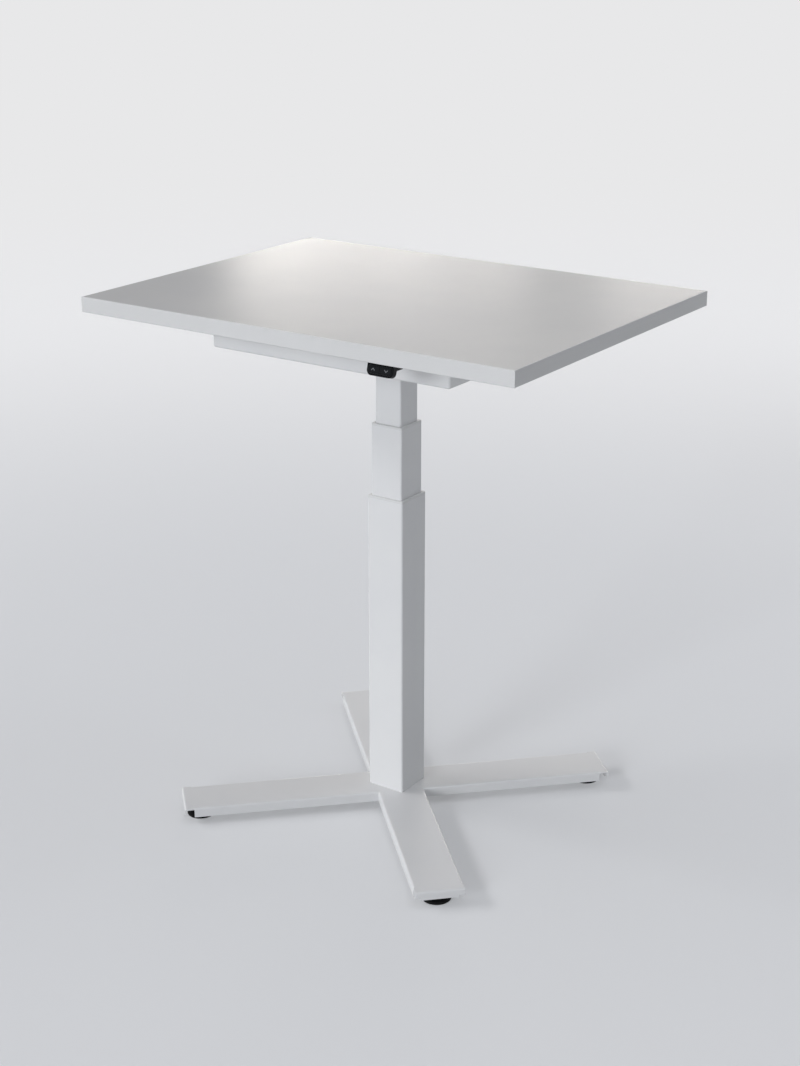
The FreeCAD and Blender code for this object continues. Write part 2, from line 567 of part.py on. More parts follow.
def build_drive_head():
    """Cast worm gearbox on the inner tube, its motor, and the plate that carries the tray."""
    flange_width = 2 * (GEARBOX_BOLT_X + GEARBOX_EAR)
    flange_depth = GEARBOX_BOLT_FRONT + GEARBOX_BOLT_REAR + 2 * GEARBOX_EAR
    flange_y = (GEARBOX_BOLT_REAR - GEARBOX_BOLT_FRONT) / 2
    flange_bottom = GEARBOX_TOP - GEARBOX_FLANGE
    spigot_side = INNER_BORE - 2 * FIT_GAP
    gearbox = block(GEARBOX_SIDE, GEARBOX_SIDE, GEARBOX_CORNER, INNER_TOP, GEARBOX_HEIGHT)
    gearbox = gearbox.fuse([
        block(flange_width, flange_depth, GEARBOX_EAR, flange_bottom, GEARBOX_FLANGE, 0, flange_y),
        block(spigot_side, spigot_side, 0, SPIGOT_BOTTOM, SPIGOT_LENGTH),
        horizontal_cylinder(WORM_RADIUS, -WORM_HALF_LENGTH, 2 * WORM_HALF_LENGTH, -WORM_OFFSET, WORM_HEIGHT),
    ])
    rib_foot = GEARBOX_SIDE / 2
    rib_tip = GEARBOX_BOLT_REAR + GEARBOX_EAR
    for x in (-GEARBOX_RIB / 2 - GEARBOX_SIDE / 4, GEARBOX_SIDE / 4 - GEARBOX_RIB / 2):
        outline = [
            Vector(x, rib_foot, INNER_TOP + GEARBOX_RIB),
            Vector(x, rib_tip, flange_bottom),
            Vector(x, rib_foot, flange_bottom),
        ]
        rib = Part.Face(Part.makePolygon(outline + outline[:1])).extrude(Vector(GEARBOX_RIB, 0, 0))
        gearbox = gearbox.fuse(rib)
    gearbox = gearbox.removeSplitter()
    gearbox = gearbox.cut(cylinder(SPINDLE_RADIUS + RUNNING_GAP, SPIGOT_BOTTOM, DRIVE_STUB + RETRACTED_GAP))
    gearbox = gearbox.cut(cylinder(DRIVE_RACE_RADIUS + FIT_GAP, SPIGOT_BOTTOM, DRIVE_RACE))

    plate_width = flange_width + 2 * HEAD_PLATE_MARGIN
    plate_depth = flange_depth + 2 * HEAD_PLATE_MARGIN
    plate = block(plate_width, plate_depth, HEAD_PLATE_CORNER, GEARBOX_TOP, HEAD_PLATE, 0, flange_y)
    bolts = []
    for x, y in gearbox_bolt_places():
        gearbox = gearbox.cut(cylinder(M8_RADIUS + CLEARANCE_HOLE, flange_bottom, GEARBOX_FLANGE, x, y))
        plate = plate.cut(cylinder(M8_RADIUS + FIT_GAP, GEARBOX_TOP, HEAD_PLATE, x, y))
        bolts.append(hex_screw(x, y, flange_bottom, M8_RADIUS, GEARBOX_FLANGE + HEAD_PLATE))

    can_start = WORM_HALF_LENGTH + MOTOR_FLANGE
    can_end = can_start + MOTOR_LENGTH
    motor = horizontal_cylinder(MOTOR_RADIUS, can_start, MOTOR_LENGTH, -WORM_OFFSET, WORM_HEIGHT)
    motor = motor.makeChamfer(MOTOR_EDGE, edges_where(motor, lambda box: box.XMin > can_end - FIT_GAP))
    motor = motor.fuse(
        horizontal_cylinder(WORM_RADIUS, WORM_HALF_LENGTH, MOTOR_FLANGE, -WORM_OFFSET, WORM_HEIGHT)
    ).removeSplitter()
    cap = horizontal_cylinder(
        MOTOR_RADIUS - MOTOR_EDGE - MOTOR_CAP_STEP, can_end, MOTOR_CAP_LENGTH, -WORM_OFFSET, WORM_HEIGHT
    )
    cap_end = can_end + MOTOR_CAP_LENGTH
    cap = cap.makeChamfer(MOTOR_EDGE, edges_where(cap, lambda box: box.XMin > cap_end - FIT_GAP))
    return {
        "gearbox_housing": gearbox,
        "gearbox_bolts": group(bolts),
        "head_plate": plate,
        "drive_motor": motor,
        "motor_end_cap": cap,
    }


# Tray and control box


def tray_screw_places():
    """Screws that hold the corners of the tray to the top."""
    x = TRAY_LENGTH / 2 - TRAY_SCREW_MARGIN
    y = TRAY_DEPTH / 2 - TRAY_SCREW_MARGIN
    return [(i * x, j * y) for i in (-1, 1) for j in (-1, 1)]


def box_ear_places():
    """Screws through the ears at both ends of the control box."""
    reach = BOX_LENGTH / 2 + BOX_EAR_LENGTH / 2
    return [(i * reach, BOX_CENTRE_Y) for i in (-1, 1)]


def build_tray():
    """Folded sheet housing under the top, open below inside a turned lip."""
    tray = block(TRAY_LENGTH, TRAY_DEPTH, TRAY_FOLD_RADIUS, TRAY_BOTTOM, TRAY_HEIGHT)
    low = TRAY_BOTTOM + FIT_GAP
    tray = tray.makeFillet(TRAY_FOLD_RADIUS - FIT_GAP, edges_where(tray, lambda box: box.ZMax < low))
    inner_length = TRAY_LENGTH - 2 * TRAY_SHEET
    inner_depth = TRAY_DEPTH - 2 * TRAY_SHEET
    inner_height = TRAY_HEIGHT - 2 * TRAY_SHEET
    inside = block(inner_length, inner_depth, 0, TRAY_BOTTOM + TRAY_SHEET, inner_height)
    window_length = TRAY_LENGTH - 2 * TRAY_LIP
    window_depth = TRAY_DEPTH - 2 * TRAY_LIP
    window = block(window_length, window_depth, 0, TRAY_BOTTOM, TRAY_HEIGHT - TRAY_SHEET)
    slot_centre = TRAY_UNDERSIDE - TRAY_SLOT_HEIGHT
    slot = block(TRAY_SLOT_WIDTH, TRAY_SLOT_HEIGHT, TRAY_SLOT_CORNER, 0, 2 * TRAY_LIP)
    slot = slot.rotated(Vector(), Vector(1, 0, 0), 90)
    slot = slot.translated(Vector(INLET_X, TRAY_DEPTH / 2 + TRAY_SHEET, slot_centre))
    tray = tray.cut(inside).cut(window).cut(slot)
    screws = []
    for x, y in tray_screw_places():
        tray = tray.cut(cylinder(M5_RADIUS + CLEARANCE_HOLE, TRAY_UNDERSIDE, TRAY_SHEET, x, y))
        screws.append(hex_screw(x, y, TRAY_UNDERSIDE, M5_RADIUS, TRAY_SHEET + TRAY_SCREW_GRIP))
    for x, y in box_ear_places():
        tray = tray.cut(cylinder(M4_RADIUS + FIT_GAP, TRAY_UNDERSIDE, TRAY_SHEET, x, y))
    return {"support_tray": tray, "tray_screws": group(screws)}


def build_control_box():
    """Moulded electronics housing on the tray, with its lid, mains inlet and lead sockets."""
    body_bottom = TRAY_UNDERSIDE - BOX_BODY
    body = block(BOX_LENGTH, BOX_DEPTH, BOX_CORNER, body_bottom, BOX_BODY, 0, BOX_CENTRE_Y)
    ear_bottom = TRAY_UNDERSIDE - BOX_EAR
    ear_span = BOX_LENGTH + 2 * BOX_EAR_LENGTH
    body = body.fuse(block(ear_span, BOX_EAR_WIDTH, 0, ear_bottom, BOX_EAR, 0, BOX_CENTRE_Y))
    body = body.removeSplitter()
    screws = []
    for x, y in box_ear_places():
        body = body.cut(cylinder(M4_RADIUS + CLEARANCE_HOLE, ear_bottom, BOX_EAR, x, y))
        screws.append(hex_screw(x, y, ear_bottom, M4_RADIUS, BOX_EAR + TRAY_SHEET))

    rear = BOX_CENTRE_Y + BOX_DEPTH / 2
    middle = body_bottom + BOX_BODY / 2

    def rear_block(width, height, depth, x, start):
        return Part.makeBox(width, depth, height, Vector(x - width / 2, start, middle - height / 2))

    inlet_start = rear - INLET_DEPTH + INLET_LIP
    sockets_start = rear - SOCKETS_DEPTH + INLET_LIP
    body = body.cut(
        rear_block(INLET_WIDTH + 2 * FIT_GAP, INLET_HEIGHT + 2 * FIT_GAP, INLET_DEPTH, INLET_X, inlet_start)
    )
    sockets_fit = SOCKETS_WIDTH + 2 * FIT_GAP
    body = body.cut(
        rear_block(sockets_fit, SOCKETS_HEIGHT + 2 * FIT_GAP, SOCKETS_DEPTH, SOCKETS_X, sockets_start)
    )

    inlet = rear_block(INLET_WIDTH, INLET_HEIGHT, INLET_DEPTH, INLET_X, inlet_start)
    inlet_floor = inlet_start + INLET_WALL
    reach = INLET_DEPTH - INLET_WALL
    inlet = inlet.cut(
        rear_block(INLET_WIDTH - 2 * INLET_WALL, INLET_HEIGHT - 2 * INLET_WALL, reach, INLET_X, inlet_floor)
    )
    for i in (-1, 0, 1):
        x = INLET_X + i * INLET_BLADE_SPACING
        inlet = inlet.fuse(rear_block(INLET_BLADE, INLET_BLADE_WIDTH, reach - INLET_LIP, x, inlet_floor))

    sockets = rear_block(SOCKETS_WIDTH, SOCKETS_HEIGHT, SOCKETS_DEPTH, SOCKETS_X, sockets_start)
    pitch = (SOCKETS_WIDTH - SOCKET_WALL) / SOCKET_COUNT
    for i in range(SOCKET_COUNT):
        x = SOCKETS_X + (i - (SOCKET_COUNT - 1) / 2) * pitch
        opening = SOCKETS_DEPTH - SOCKET_REACH + sockets_start
        mouth = rear_block(pitch - SOCKET_WALL, SOCKETS_HEIGHT - 2 * SOCKET_WALL, SOCKET_REACH, x, opening)
        sockets = sockets.cut(mouth)

    lid_bottom = body_bottom - BOX_LID
    lid = block(BOX_LENGTH, BOX_DEPTH, BOX_CORNER, lid_bottom, BOX_LID, 0, BOX_CENTRE_Y)
    lid = lid.makeChamfer(BOX_EDGE, edges_where(lid, lambda box: box.ZMax < lid_bottom + FIT_GAP))
    for i in range(VENT_COUNT):
        x = (i - (VENT_COUNT - 1) / 2) * VENT_PITCH
        vent = block(VENT_WIDTH, VENT_LENGTH, 0, lid_bottom, VENT_DEPTH, x, BOX_CENTRE_Y)
        lid = lid.cut(vent)
    return {
        "control_box": body,
        "control_box_lid": lid,
        "control_box_screws": group(screws),
        "power_inlet": inlet,
        "lead_sockets": sockets,
    }


# Top and handset


def handset_face():
    """Place of the upper edge of the handset's tilted face."""
    lean = HANDSET_DROP * math.tan(math.radians(HANDSET_TILT))
    return HANDSET_SETBACK - TOP_DEPTH / 2 + lean


def handset_screw_places():
    """Screws behind the handset's front plate."""
    y = handset_face() + (HANDSET_FRONT + HANDSET_DEPTH) / 2
    return [(HANDSET_X + i * HANDSET_SCREW_SPACING / 2, y) for i in (-1, 1)]


def build_top():
    """Faced board with an edge strip glued to each side."""
    panel_width = TOP_WIDTH - 2 * EDGE_BAND
    panel_depth = TOP_DEPTH - 2 * EDGE_BAND
    panel = block(panel_width, panel_depth, 0, TOP_UNDERSIDE, TOP_THICKNESS)
    for x, y in tray_screw_places():
        panel = panel.cut(cylinder(M5_RADIUS + FIT_GAP, TOP_UNDERSIDE, TRAY_SCREW_GRIP + FIT_GAP, x, y))
    for x, y in handset_screw_places():
        panel = panel.cut(cylinder(M4_RADIUS + FIT_GAP, TOP_UNDERSIDE, HANDSET_SCREW_GRIP + FIT_GAP, x, y))
    nodes = {"tabletop_panel": panel}
    strips = {
        "edge_front": (TOP_WIDTH, EDGE_BAND, 0, -1),
        "edge_back": (TOP_WIDTH, EDGE_BAND, 0, 1),
        "edge_left": (EDGE_BAND, panel_depth, -1, 0),
        "edge_right": (EDGE_BAND, panel_depth, 1, 0),
    }
    for name, (width, depth, i, j) in strips.items():
        x = i * (TOP_WIDTH - EDGE_BAND) / 2
        y = j * (TOP_DEPTH - EDGE_BAND) / 2
        strip = block(width, depth, 0, TOP_UNDERSIDE, TOP_THICKNESS, x, y)
        face_x = i * TOP_WIDTH / 2
        face_y = j * TOP_DEPTH / 2
        rounded = edges_where(strip, lambda box: on_outer_edge(box, i, face_x, face_y))
        nodes[name] = strip.makeFillet(EDGE_RADIUS, rounded)
    return nodes


def on_outer_edge(box, along_x, face_x, face_y):
    """Whether an edge is one of the two long outer edges of a strip."""
    level = box.ZMax - box.ZMin < FIT_GAP
    if along_x:
        return level and abs(box.XMin - face_x) < FIT_GAP and abs(box.XMax - face_x) < FIT_GAP
    return level and abs(box.YMin - face_y) < FIT_GAP and abs(box.YMax - face_y) < FIT_GAP


def build_handset():
    """Two-button handset: a front plate tilted up to the user and a flat body behind it."""
    front = handset_face()
    low = TOP_UNDERSIDE - HANDSET_DROP / math.cos(math.radians(HANDSET_TILT))
    high = TOP_UNDERSIDE + HANDSET_FRONT
    half = HANDSET_WIDTH / 2
    inset = HANDSET_CORNER * (1 - math.sqrt(0.5))

    def at(x, height):
        return Vector(HANDSET_X + x, front, height)

    def tilted(shape):
        return shape.rotated(Vector(0, front, TOP_UNDERSIDE), Vector(1, 0, 0), -HANDSET_TILT)

    def upright(width, height, corner, depth, start):
        shape = block(width, height, corner, 0, depth)
        shape = shape.rotated(Vector(), Vector(1, 0, 0), 90)
        return shape.translated(Vector(HANDSET_X, start + depth, TOP_UNDERSIDE - BUTTON_DROP))

    edges = [
        Part.LineSegment(at(-half, high), at(-half, low + HANDSET_CORNER)),
        Part.Arc(
            at(-half, low + HANDSET_CORNER),
            at(inset - half, low + inset),
            at(HANDSET_CORNER - half, low),
        ),
        Part.LineSegment(at(HANDSET_CORNER - half, low), at(half - HANDSET_CORNER, low)),
        Part.Arc(
            at(half - HANDSET_CORNER, low),
            at(half - inset, low + inset),
            at(half, low + HANDSET_CORNER),
        ),
        Part.LineSegment(at(half, low + HANDSET_CORNER), at(half, high)),
        Part.LineSegment(at(half, high), at(-half, high)),
    ]
    plate = Part.Face(Part.Wire([edge.toShape() for edge in edges])).extrude(Vector(0, HANDSET_FRONT, 0))
    plate = plate.makeChamfer(HANDSET_EDGE, edges_where(plate, lambda box: box.YMax < front + FIT_GAP))
    recess_depth = BUTTON_DEPTH - BUTTON_PROUD + BUTTON_TRAVEL + RUNNING_GAP
    plate = plate.cut(upright(
        BUTTON_SPAN + 2 * RUNNING_GAP, BUTTON_HEIGHT + 2 * RUNNING_GAP, BUTTON_CORNER + RUNNING_GAP,
        recess_depth, front,
    ))
    above = block(2 * HANDSET_WIDTH, TOP_DEPTH, 0, TOP_UNDERSIDE, TOP_THICKNESS, HANDSET_X, front)
    plate = tilted(plate).cut(above)
    body = block(
        HANDSET_WIDTH, HANDSET_DEPTH - 2 * HANDSET_EDGE, HANDSET_CORNER / 2,
        TOP_UNDERSIDE - HANDSET_BODY_DROP, HANDSET_BODY_DROP, HANDSET_X, front + HANDSET_DEPTH / 2,
    )
    ahead = block(
        2 * HANDSET_WIDTH, HANDSET_FRONT, 0,
        TOP_UNDERSIDE - HANDSET_DROP, HANDSET_DROP, HANDSET_X, front,
    )
    housing = plate.fuse(body.cut(ahead)).removeSplitter()
    screws = []
    seat = TOP_UNDERSIDE - HANDSET_BODY_DROP
    for x, y in handset_screw_places():
        housing = housing.cut(cylinder(M4_RADIUS + CLEARANCE_HOLE, seat, HANDSET_BODY_DROP, x, y))
        screws.append(hex_screw(x, y, seat, M4_RADIUS, HANDSET_BODY_DROP + HANDSET_SCREW_GRIP))
    button_front = front - BUTTON_PROUD
    pair = upright(BUTTON_SPAN, BUTTON_HEIGHT, BUTTON_CORNER, BUTTON_DEPTH, button_front)
    nodes = {}
    for name, side in (("up_button", -1), ("down_button", 1)):
        half_x = HANDSET_X + side * (BUTTON_SPAN + RUNNING_GAP) / 2
        half_span = Part.makeBox(
            BUTTON_SPAN, BUTTON_DEPTH, HANDSET_DROP,
            Vector(half_x - BUTTON_SPAN / 2, button_front, low),
        )
        button = pair.common(half_span)
        rim = edges_where(button, lambda box: box.YMax < button_front + FIT_GAP)
        nodes[name] = tilted(button.makeChamfer(BUTTON_EDGE, rim))
    nodes["handset_housing"] = housing
    nodes["handset_screws"] = group(screws)
    return nodes


def main():
    """Build every piece and write one STEP file for each."""
    os.makedirs("parts", exist_ok=True)
    nodes = {}
    builders = (
        build_legs, build_glides, build_column, build_screw_drive, build_drive_head,
        build_tray, build_control_box, build_top, build_handset,
    )
    for build in builders:
        nodes.update(build())
    for name, shape in nodes.items():
        shape.exportStep("parts/" + name + ".step")
    print(len(nodes), "pieces, worktop at", TOP_UNDERSIDE + TOP_THICKNESS, "mm")


main()
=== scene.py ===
"""Looks of a single-column sit-stand desk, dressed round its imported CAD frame."""

import logging
import math
from dataclasses import dataclass
from enum import Enum
from functools import partial
from typing import Callable, Sequence

import bmesh
import bpy
from mathutils import Matrix, Vector


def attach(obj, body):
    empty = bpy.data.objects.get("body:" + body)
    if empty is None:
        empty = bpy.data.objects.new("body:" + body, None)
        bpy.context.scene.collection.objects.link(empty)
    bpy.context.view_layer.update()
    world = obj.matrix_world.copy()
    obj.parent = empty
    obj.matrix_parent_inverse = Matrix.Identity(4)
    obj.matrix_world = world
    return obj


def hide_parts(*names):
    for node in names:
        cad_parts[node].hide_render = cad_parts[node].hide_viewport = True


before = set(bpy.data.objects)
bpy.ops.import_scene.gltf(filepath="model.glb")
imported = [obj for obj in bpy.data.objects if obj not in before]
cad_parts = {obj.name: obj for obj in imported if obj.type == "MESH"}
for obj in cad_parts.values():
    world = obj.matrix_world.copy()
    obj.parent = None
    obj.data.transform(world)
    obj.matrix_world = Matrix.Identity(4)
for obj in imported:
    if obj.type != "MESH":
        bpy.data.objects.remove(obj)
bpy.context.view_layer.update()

LOG = logging.getLogger("desk")
MM = 0.001

Rgb = tuple[float, float, float]
Point = tuple[float, float, float]
Span = tuple[float, float]
# Corners of an outline, or heights with an inset or a radius at each.
Profile = Sequence[tuple[float, float]]
# A radius may change with the angle. A ring is a height with its radius.
Radius = float | Callable[[float], float]
Ring = tuple[float, Radius]

UPRIGHT = Matrix()

# The curve between a display's colours and linear ones.
CURVE_CUT = 0.04045
CURVE_SLOPE = 12.92
CURVE_OFFSET = 0.055
CURVE_POWER = 2.4


def linear(channel: int) -> float:
    """Turn one channel of a display colour into the linear value that a shader takes.

    Args:
        channel: The channel's value, 0 to 255.

    Returns:
        The linear value.
    """
    share = channel / 255
    if share <= CURVE_CUT:
        return share / CURVE_SLOPE
    return ((share + CURVE_OFFSET) / (1 + CURVE_OFFSET)) ** CURVE_POWER


def tint(red: int, green: int, blue: int) -> Rgb:
    """Linear colour of a display colour whose channels go from 0 to 255."""
    return linear(red), linear(green), linear(blue)


class Graph:
    """Adds nodes to one node tree and links them."""

    NOISE_ROUGHNESS = 0.55

    def __init__(self, tree: bpy.types.NodeTree) -> None:
        """Work on the node tree of a material, a world or a node group."""
        self.tree = tree

    @classmethod
    def fresh(cls, owner: bpy.types.ID) -> "Graph":
        """Start on an owner's own tree, emptied.

        Args:
            owner: A material or a world.

        Returns:
            The graph of its tree.
        """
        owner.use_nodes = True
        owner.node_tree.nodes.clear()
        return cls(owner.node_tree)

    def node(self, kind: str, inputs: dict | None = None, **settings: object) -> bpy.types.Node:
        """Add a node.

        Args:
            kind: Blender's name of the node type.
            inputs: Values or other nodes' outputs, by socket name or number.
            settings: Properties of the node.

        Returns:
            The new node.
        """
        made = self.tree.nodes.new(kind)
        for key, value in settings.items():
            setattr(made, key, value)
        for key, value in (inputs or {}).items():
            self.feed(made.inputs[key], value)
        return made

    def feed(self, socket: bpy.types.NodeSocket, value: object) -> None:
        """Link an output to a socket, or set the socket's own value.

        Args:
            socket: The input to feed.
            value: Another node's output, a number, or a colour of three numbers.
        """
        if isinstance(value, bpy.types.NodeSocket):
            self.tree.links.new(value, socket)
        elif socket.type == "RGBA" and len(value) == 3:
            socket.default_value = (*value, 1.0)
        else:
            socket.default_value = value

    def math(self, operation: str, *values: object, clamp: bool = False) -> bpy.types.NodeSocket:
        """Add a Math node that takes the values in order, and return its output."""
        made = self.node("ShaderNodeMath", dict(enumerate(values)), operation=operation, use_clamp=clamp)
        return made.outputs[0]

    def remap(
        self, value: object, given: Span, result: tuple[object, object] = (0.0, 1.0)
    ) -> bpy.types.NodeSocket:
        """Map the start and the end of a given range smoothly on those of the result."""
        inputs = dict(enumerate((value, *given, *result)))
        return self.node("ShaderNodeMapRange", inputs, interpolation_type="SMOOTHSTEP").outputs[0]

    def blend(self, share: object, first: object, second: object) -> bpy.types.NodeSocket:
        """Mix two colours.

        Args:
            share: How much of the second one shows.
            first: The first colour.
            second: The second colour.

        Returns:
            The mixed colour.
        """
        made = self.node("ShaderNodeMix", data_type="RGBA")
        for name, value in (("Factor_Float", share), ("A_Color", first), ("B_Color", second)):
            socket = next(s for s in made.inputs if s.identifier == name)
            self.feed(socket, value)
        return next(s for s in made.outputs if s.identifier == "Result_Color")

    def noise(self, scale: object, detail: float, place: object) -> bpy.types.NodeSocket:
        """Add a noise texture, with its scale in features in a metre, and return its value."""
        inputs = {"Vector": place, "Scale": scale, "Detail": detail, "Roughness": self.NOISE_ROUGHNESS}
        return self.node("ShaderNodeTexNoise", inputs).outputs[0]

    def place(self) -> bpy.types.NodeSocket:
        """Place on the object, in metres of the shared frame."""
        return self.node("ShaderNodeTexCoord").outputs["Object"]

    def group(self, tree: bpy.types.NodeTree, **inputs: object) -> bpy.types.Node:
        """Place a shared effect with its own values.

        Args:
            tree: The effect.
            inputs: Its inputs by name.

        Returns:
            The group node.
        """
        made = self.node("ShaderNodeGroup", node_tree=tree)
        for name, value in inputs.items():
            self.feed(made.inputs[name], value)
        return made


class Socket(Enum):
    """Kinds of socket on an effect."""

    NUMBER = "NodeSocketFloat"
    COLOUR = "NodeSocketColor"
    VECTOR = "NodeSocketVector"


class Effects:
    """Shader node groups that several finishes share, each built once."""

    # A range is the stretch of a value that counts, and shares are what its ends become.
    TONE_DETAIL = 4.0
    TONE_RANGE = (0.32, 0.68)
    SWELL_DETAIL = 2.0
    FINER_DETAIL = 3.0
    FINER_SCALE = 3.1
    FINER_SHARE = 0.35
    EDGE_SAMPLES = 4
    EDGE_RANGE = (0.97, 0.8)
    CHIP_SCALE = 140.0
    CHIP_DETAIL = 3.0
    CHIP_RANGE = (0.35, 0.65)
    CHIP_SHARES = (0.25, 1.0)
    UPWARD_RANGE = (0.55, 0.98)
    DUST_DETAIL = 6.0
    DUST_RANGE = (0.35, 0.75)
    DUST_SHARES = (0.1, 1.0)
    WIPE_DETAIL = 5.0
    WIPE_MIDDLE = 0.5
    LEAST_ROUGHNESS = 0.05

    def __init__(self) -> None:
        """Build all the groups."""
        self.tone = self._tone()
        self.grain = self._grain()
        self.wear = self._wear()
        self.dust = self._dust()
        self.smudge = self._smudge()

    @staticmethod
    def _group(
        name: str, inputs: dict[str, Socket], outputs: dict[str, Socket]
    ) -> tuple[Graph, bpy.types.Node, bpy.types.Node]:
        """Start a group with named sockets.

        Args:
            name: Name of the group.
            inputs: Kinds of its inputs by name.
            outputs: Kinds of its outputs by name.

        Returns:
            The group's graph, its input node and its output node.
        """
        tree = bpy.data.node_groups.new(name, "ShaderNodeTree")
        for label, kind in inputs.items():
            tree.interface.new_socket(label, in_out="INPUT", socket_type=kind.value)
        for label, kind in outputs.items():
            tree.interface.new_socket(label, in_out="OUTPUT", socket_type=kind.value)
        graph = Graph(tree)
        return graph, graph.node("NodeGroupInput"), graph.node("NodeGroupOutput")

    def _tone(self) -> bpy.types.NodeTree:
        """Slow drift between two tones of one colour.

        Returns:
            The group.
        """
        graph, given, result = self._group(
            "tone_drift",
            {"Light": Socket.COLOUR, "Shade": Socket.COLOUR, "Scale": Socket.NUMBER},
            {"Color": Socket.COLOUR},
        )
        drift = graph.noise(given.outputs["Scale"], self.TONE_DETAIL, graph.place())
        share = graph.remap(drift, self.TONE_RANGE)
        graph.feed(result.inputs["Color"], graph.blend(share, given.outputs["Light"], given.outputs["Shade"]))
        return graph.tree

    def _grain(self) -> bpy.types.NodeTree:
        """Fine relief of a coating, a moulding or a brushed face.

        Returns:
            The group.
        """
        graph, given, result = self._group(
            "fine_grain",
            {"Scale": Socket.NUMBER, "Stretch": Socket.VECTOR},
            {"Height": Socket.NUMBER},
        )
        inputs = {0: graph.place(), 1: given.outputs["Stretch"]}
        place = graph.node("ShaderNodeVectorMath", inputs, operation="MULTIPLY").outputs[0]
        swell = graph.noise(given.outputs["Scale"], self.SWELL_DETAIL, place)
        finer_scale = graph.math("MULTIPLY", given.outputs["Scale"], self.FINER_SCALE)
        finer = graph.noise(finer_scale, self.FINER_DETAIL, place)
        graph.feed(result.inputs["Height"], graph.math("MULTIPLY_ADD", finer, self.FINER_SHARE, swell))
        return graph.tree

    def _wear(self) -> bpy.types.NodeTree:
        """Mask of the outer edges, broken up as handling does it.

        Returns:
            The group.
        """
        graph, given, result = self._group(
            "edge_wear", {"Radius": Socket.NUMBER, "Amount": Socket.NUMBER}, {"Mask": Socket.NUMBER}
        )
        bevel = graph.node("ShaderNodeBevel", {"Radius": given.outputs["Radius"]}, samples=self.EDGE_SAMPLES)
        flat = graph.node("ShaderNodeNewGeometry").outputs["Normal"]
        inputs = {0: bevel.outputs[0], 1: flat}
        likeness = graph.node("ShaderNodeVectorMath", inputs, operation="DOT_PRODUCT").outputs["Value"]
        edge = graph.remap(likeness, self.EDGE_RANGE)
        chips = graph.noise(self.CHIP_SCALE, self.CHIP_DETAIL, graph.place())
        worn = graph.math("MULTIPLY", edge, graph.remap(chips, self.CHIP_RANGE, self.CHIP_SHARES))
        graph.feed(result.inputs["Mask"], graph.math("MULTIPLY", worn, given.outputs["Amount"], clamp=True))
        return graph.tree

    def _dust(self) -> bpy.types.NodeTree:
        """Mask of thin dust on faces that look up.

        Returns:
            The group.
        """
        graph, given, result = self._group(
            "settled_dust", {"Amount": Socket.NUMBER, "Scale": Socket.NUMBER}, {"Mask": Socket.NUMBER}
        )
        normal = graph.node("ShaderNodeNewGeometry").outputs["Normal"]
        upward = graph.node("ShaderNodeSeparateXYZ", {0: normal}).outputs["Z"]
        lying = graph.remap(upward, self.UPWARD_RANGE)
        patches = graph.noise(given.outputs["Scale"], self.DUST_DETAIL, graph.place())
        share = graph.math("MULTIPLY", lying, graph.remap(patches, self.DUST_RANGE, self.DUST_SHARES))
        graph.feed(result.inputs["Mask"], graph.math("MULTIPLY", share, given.outputs["Amount"], clamp=True))
        return graph.tree

    def _smudge(self) -> bpy.types.NodeTree:
        """Roughness that hands and wiping leave a little uneven.

        Returns:
            The group.
        """
        graph, given, result = self._group(
            "wiped_roughness",
            {"Roughness": Socket.NUMBER, "Spread": Socket.NUMBER, "Scale": Socket.NUMBER},
            {"Roughness": Socket.NUMBER},
        )
        patches = graph.noise(given.outputs["Scale"], self.WIPE_DETAIL, graph.place())
        offset = graph.math("SUBTRACT", patches, self.WIPE_MIDDLE)
        uneven = graph.math("MULTIPLY_ADD", offset, given.outputs["Spread"], given.outputs["Roughness"])
        graph.feed(result.inputs["Roughness"], graph.math("MAXIMUM", uneven, self.LEAST_ROUGHNESS))
        return graph.tree


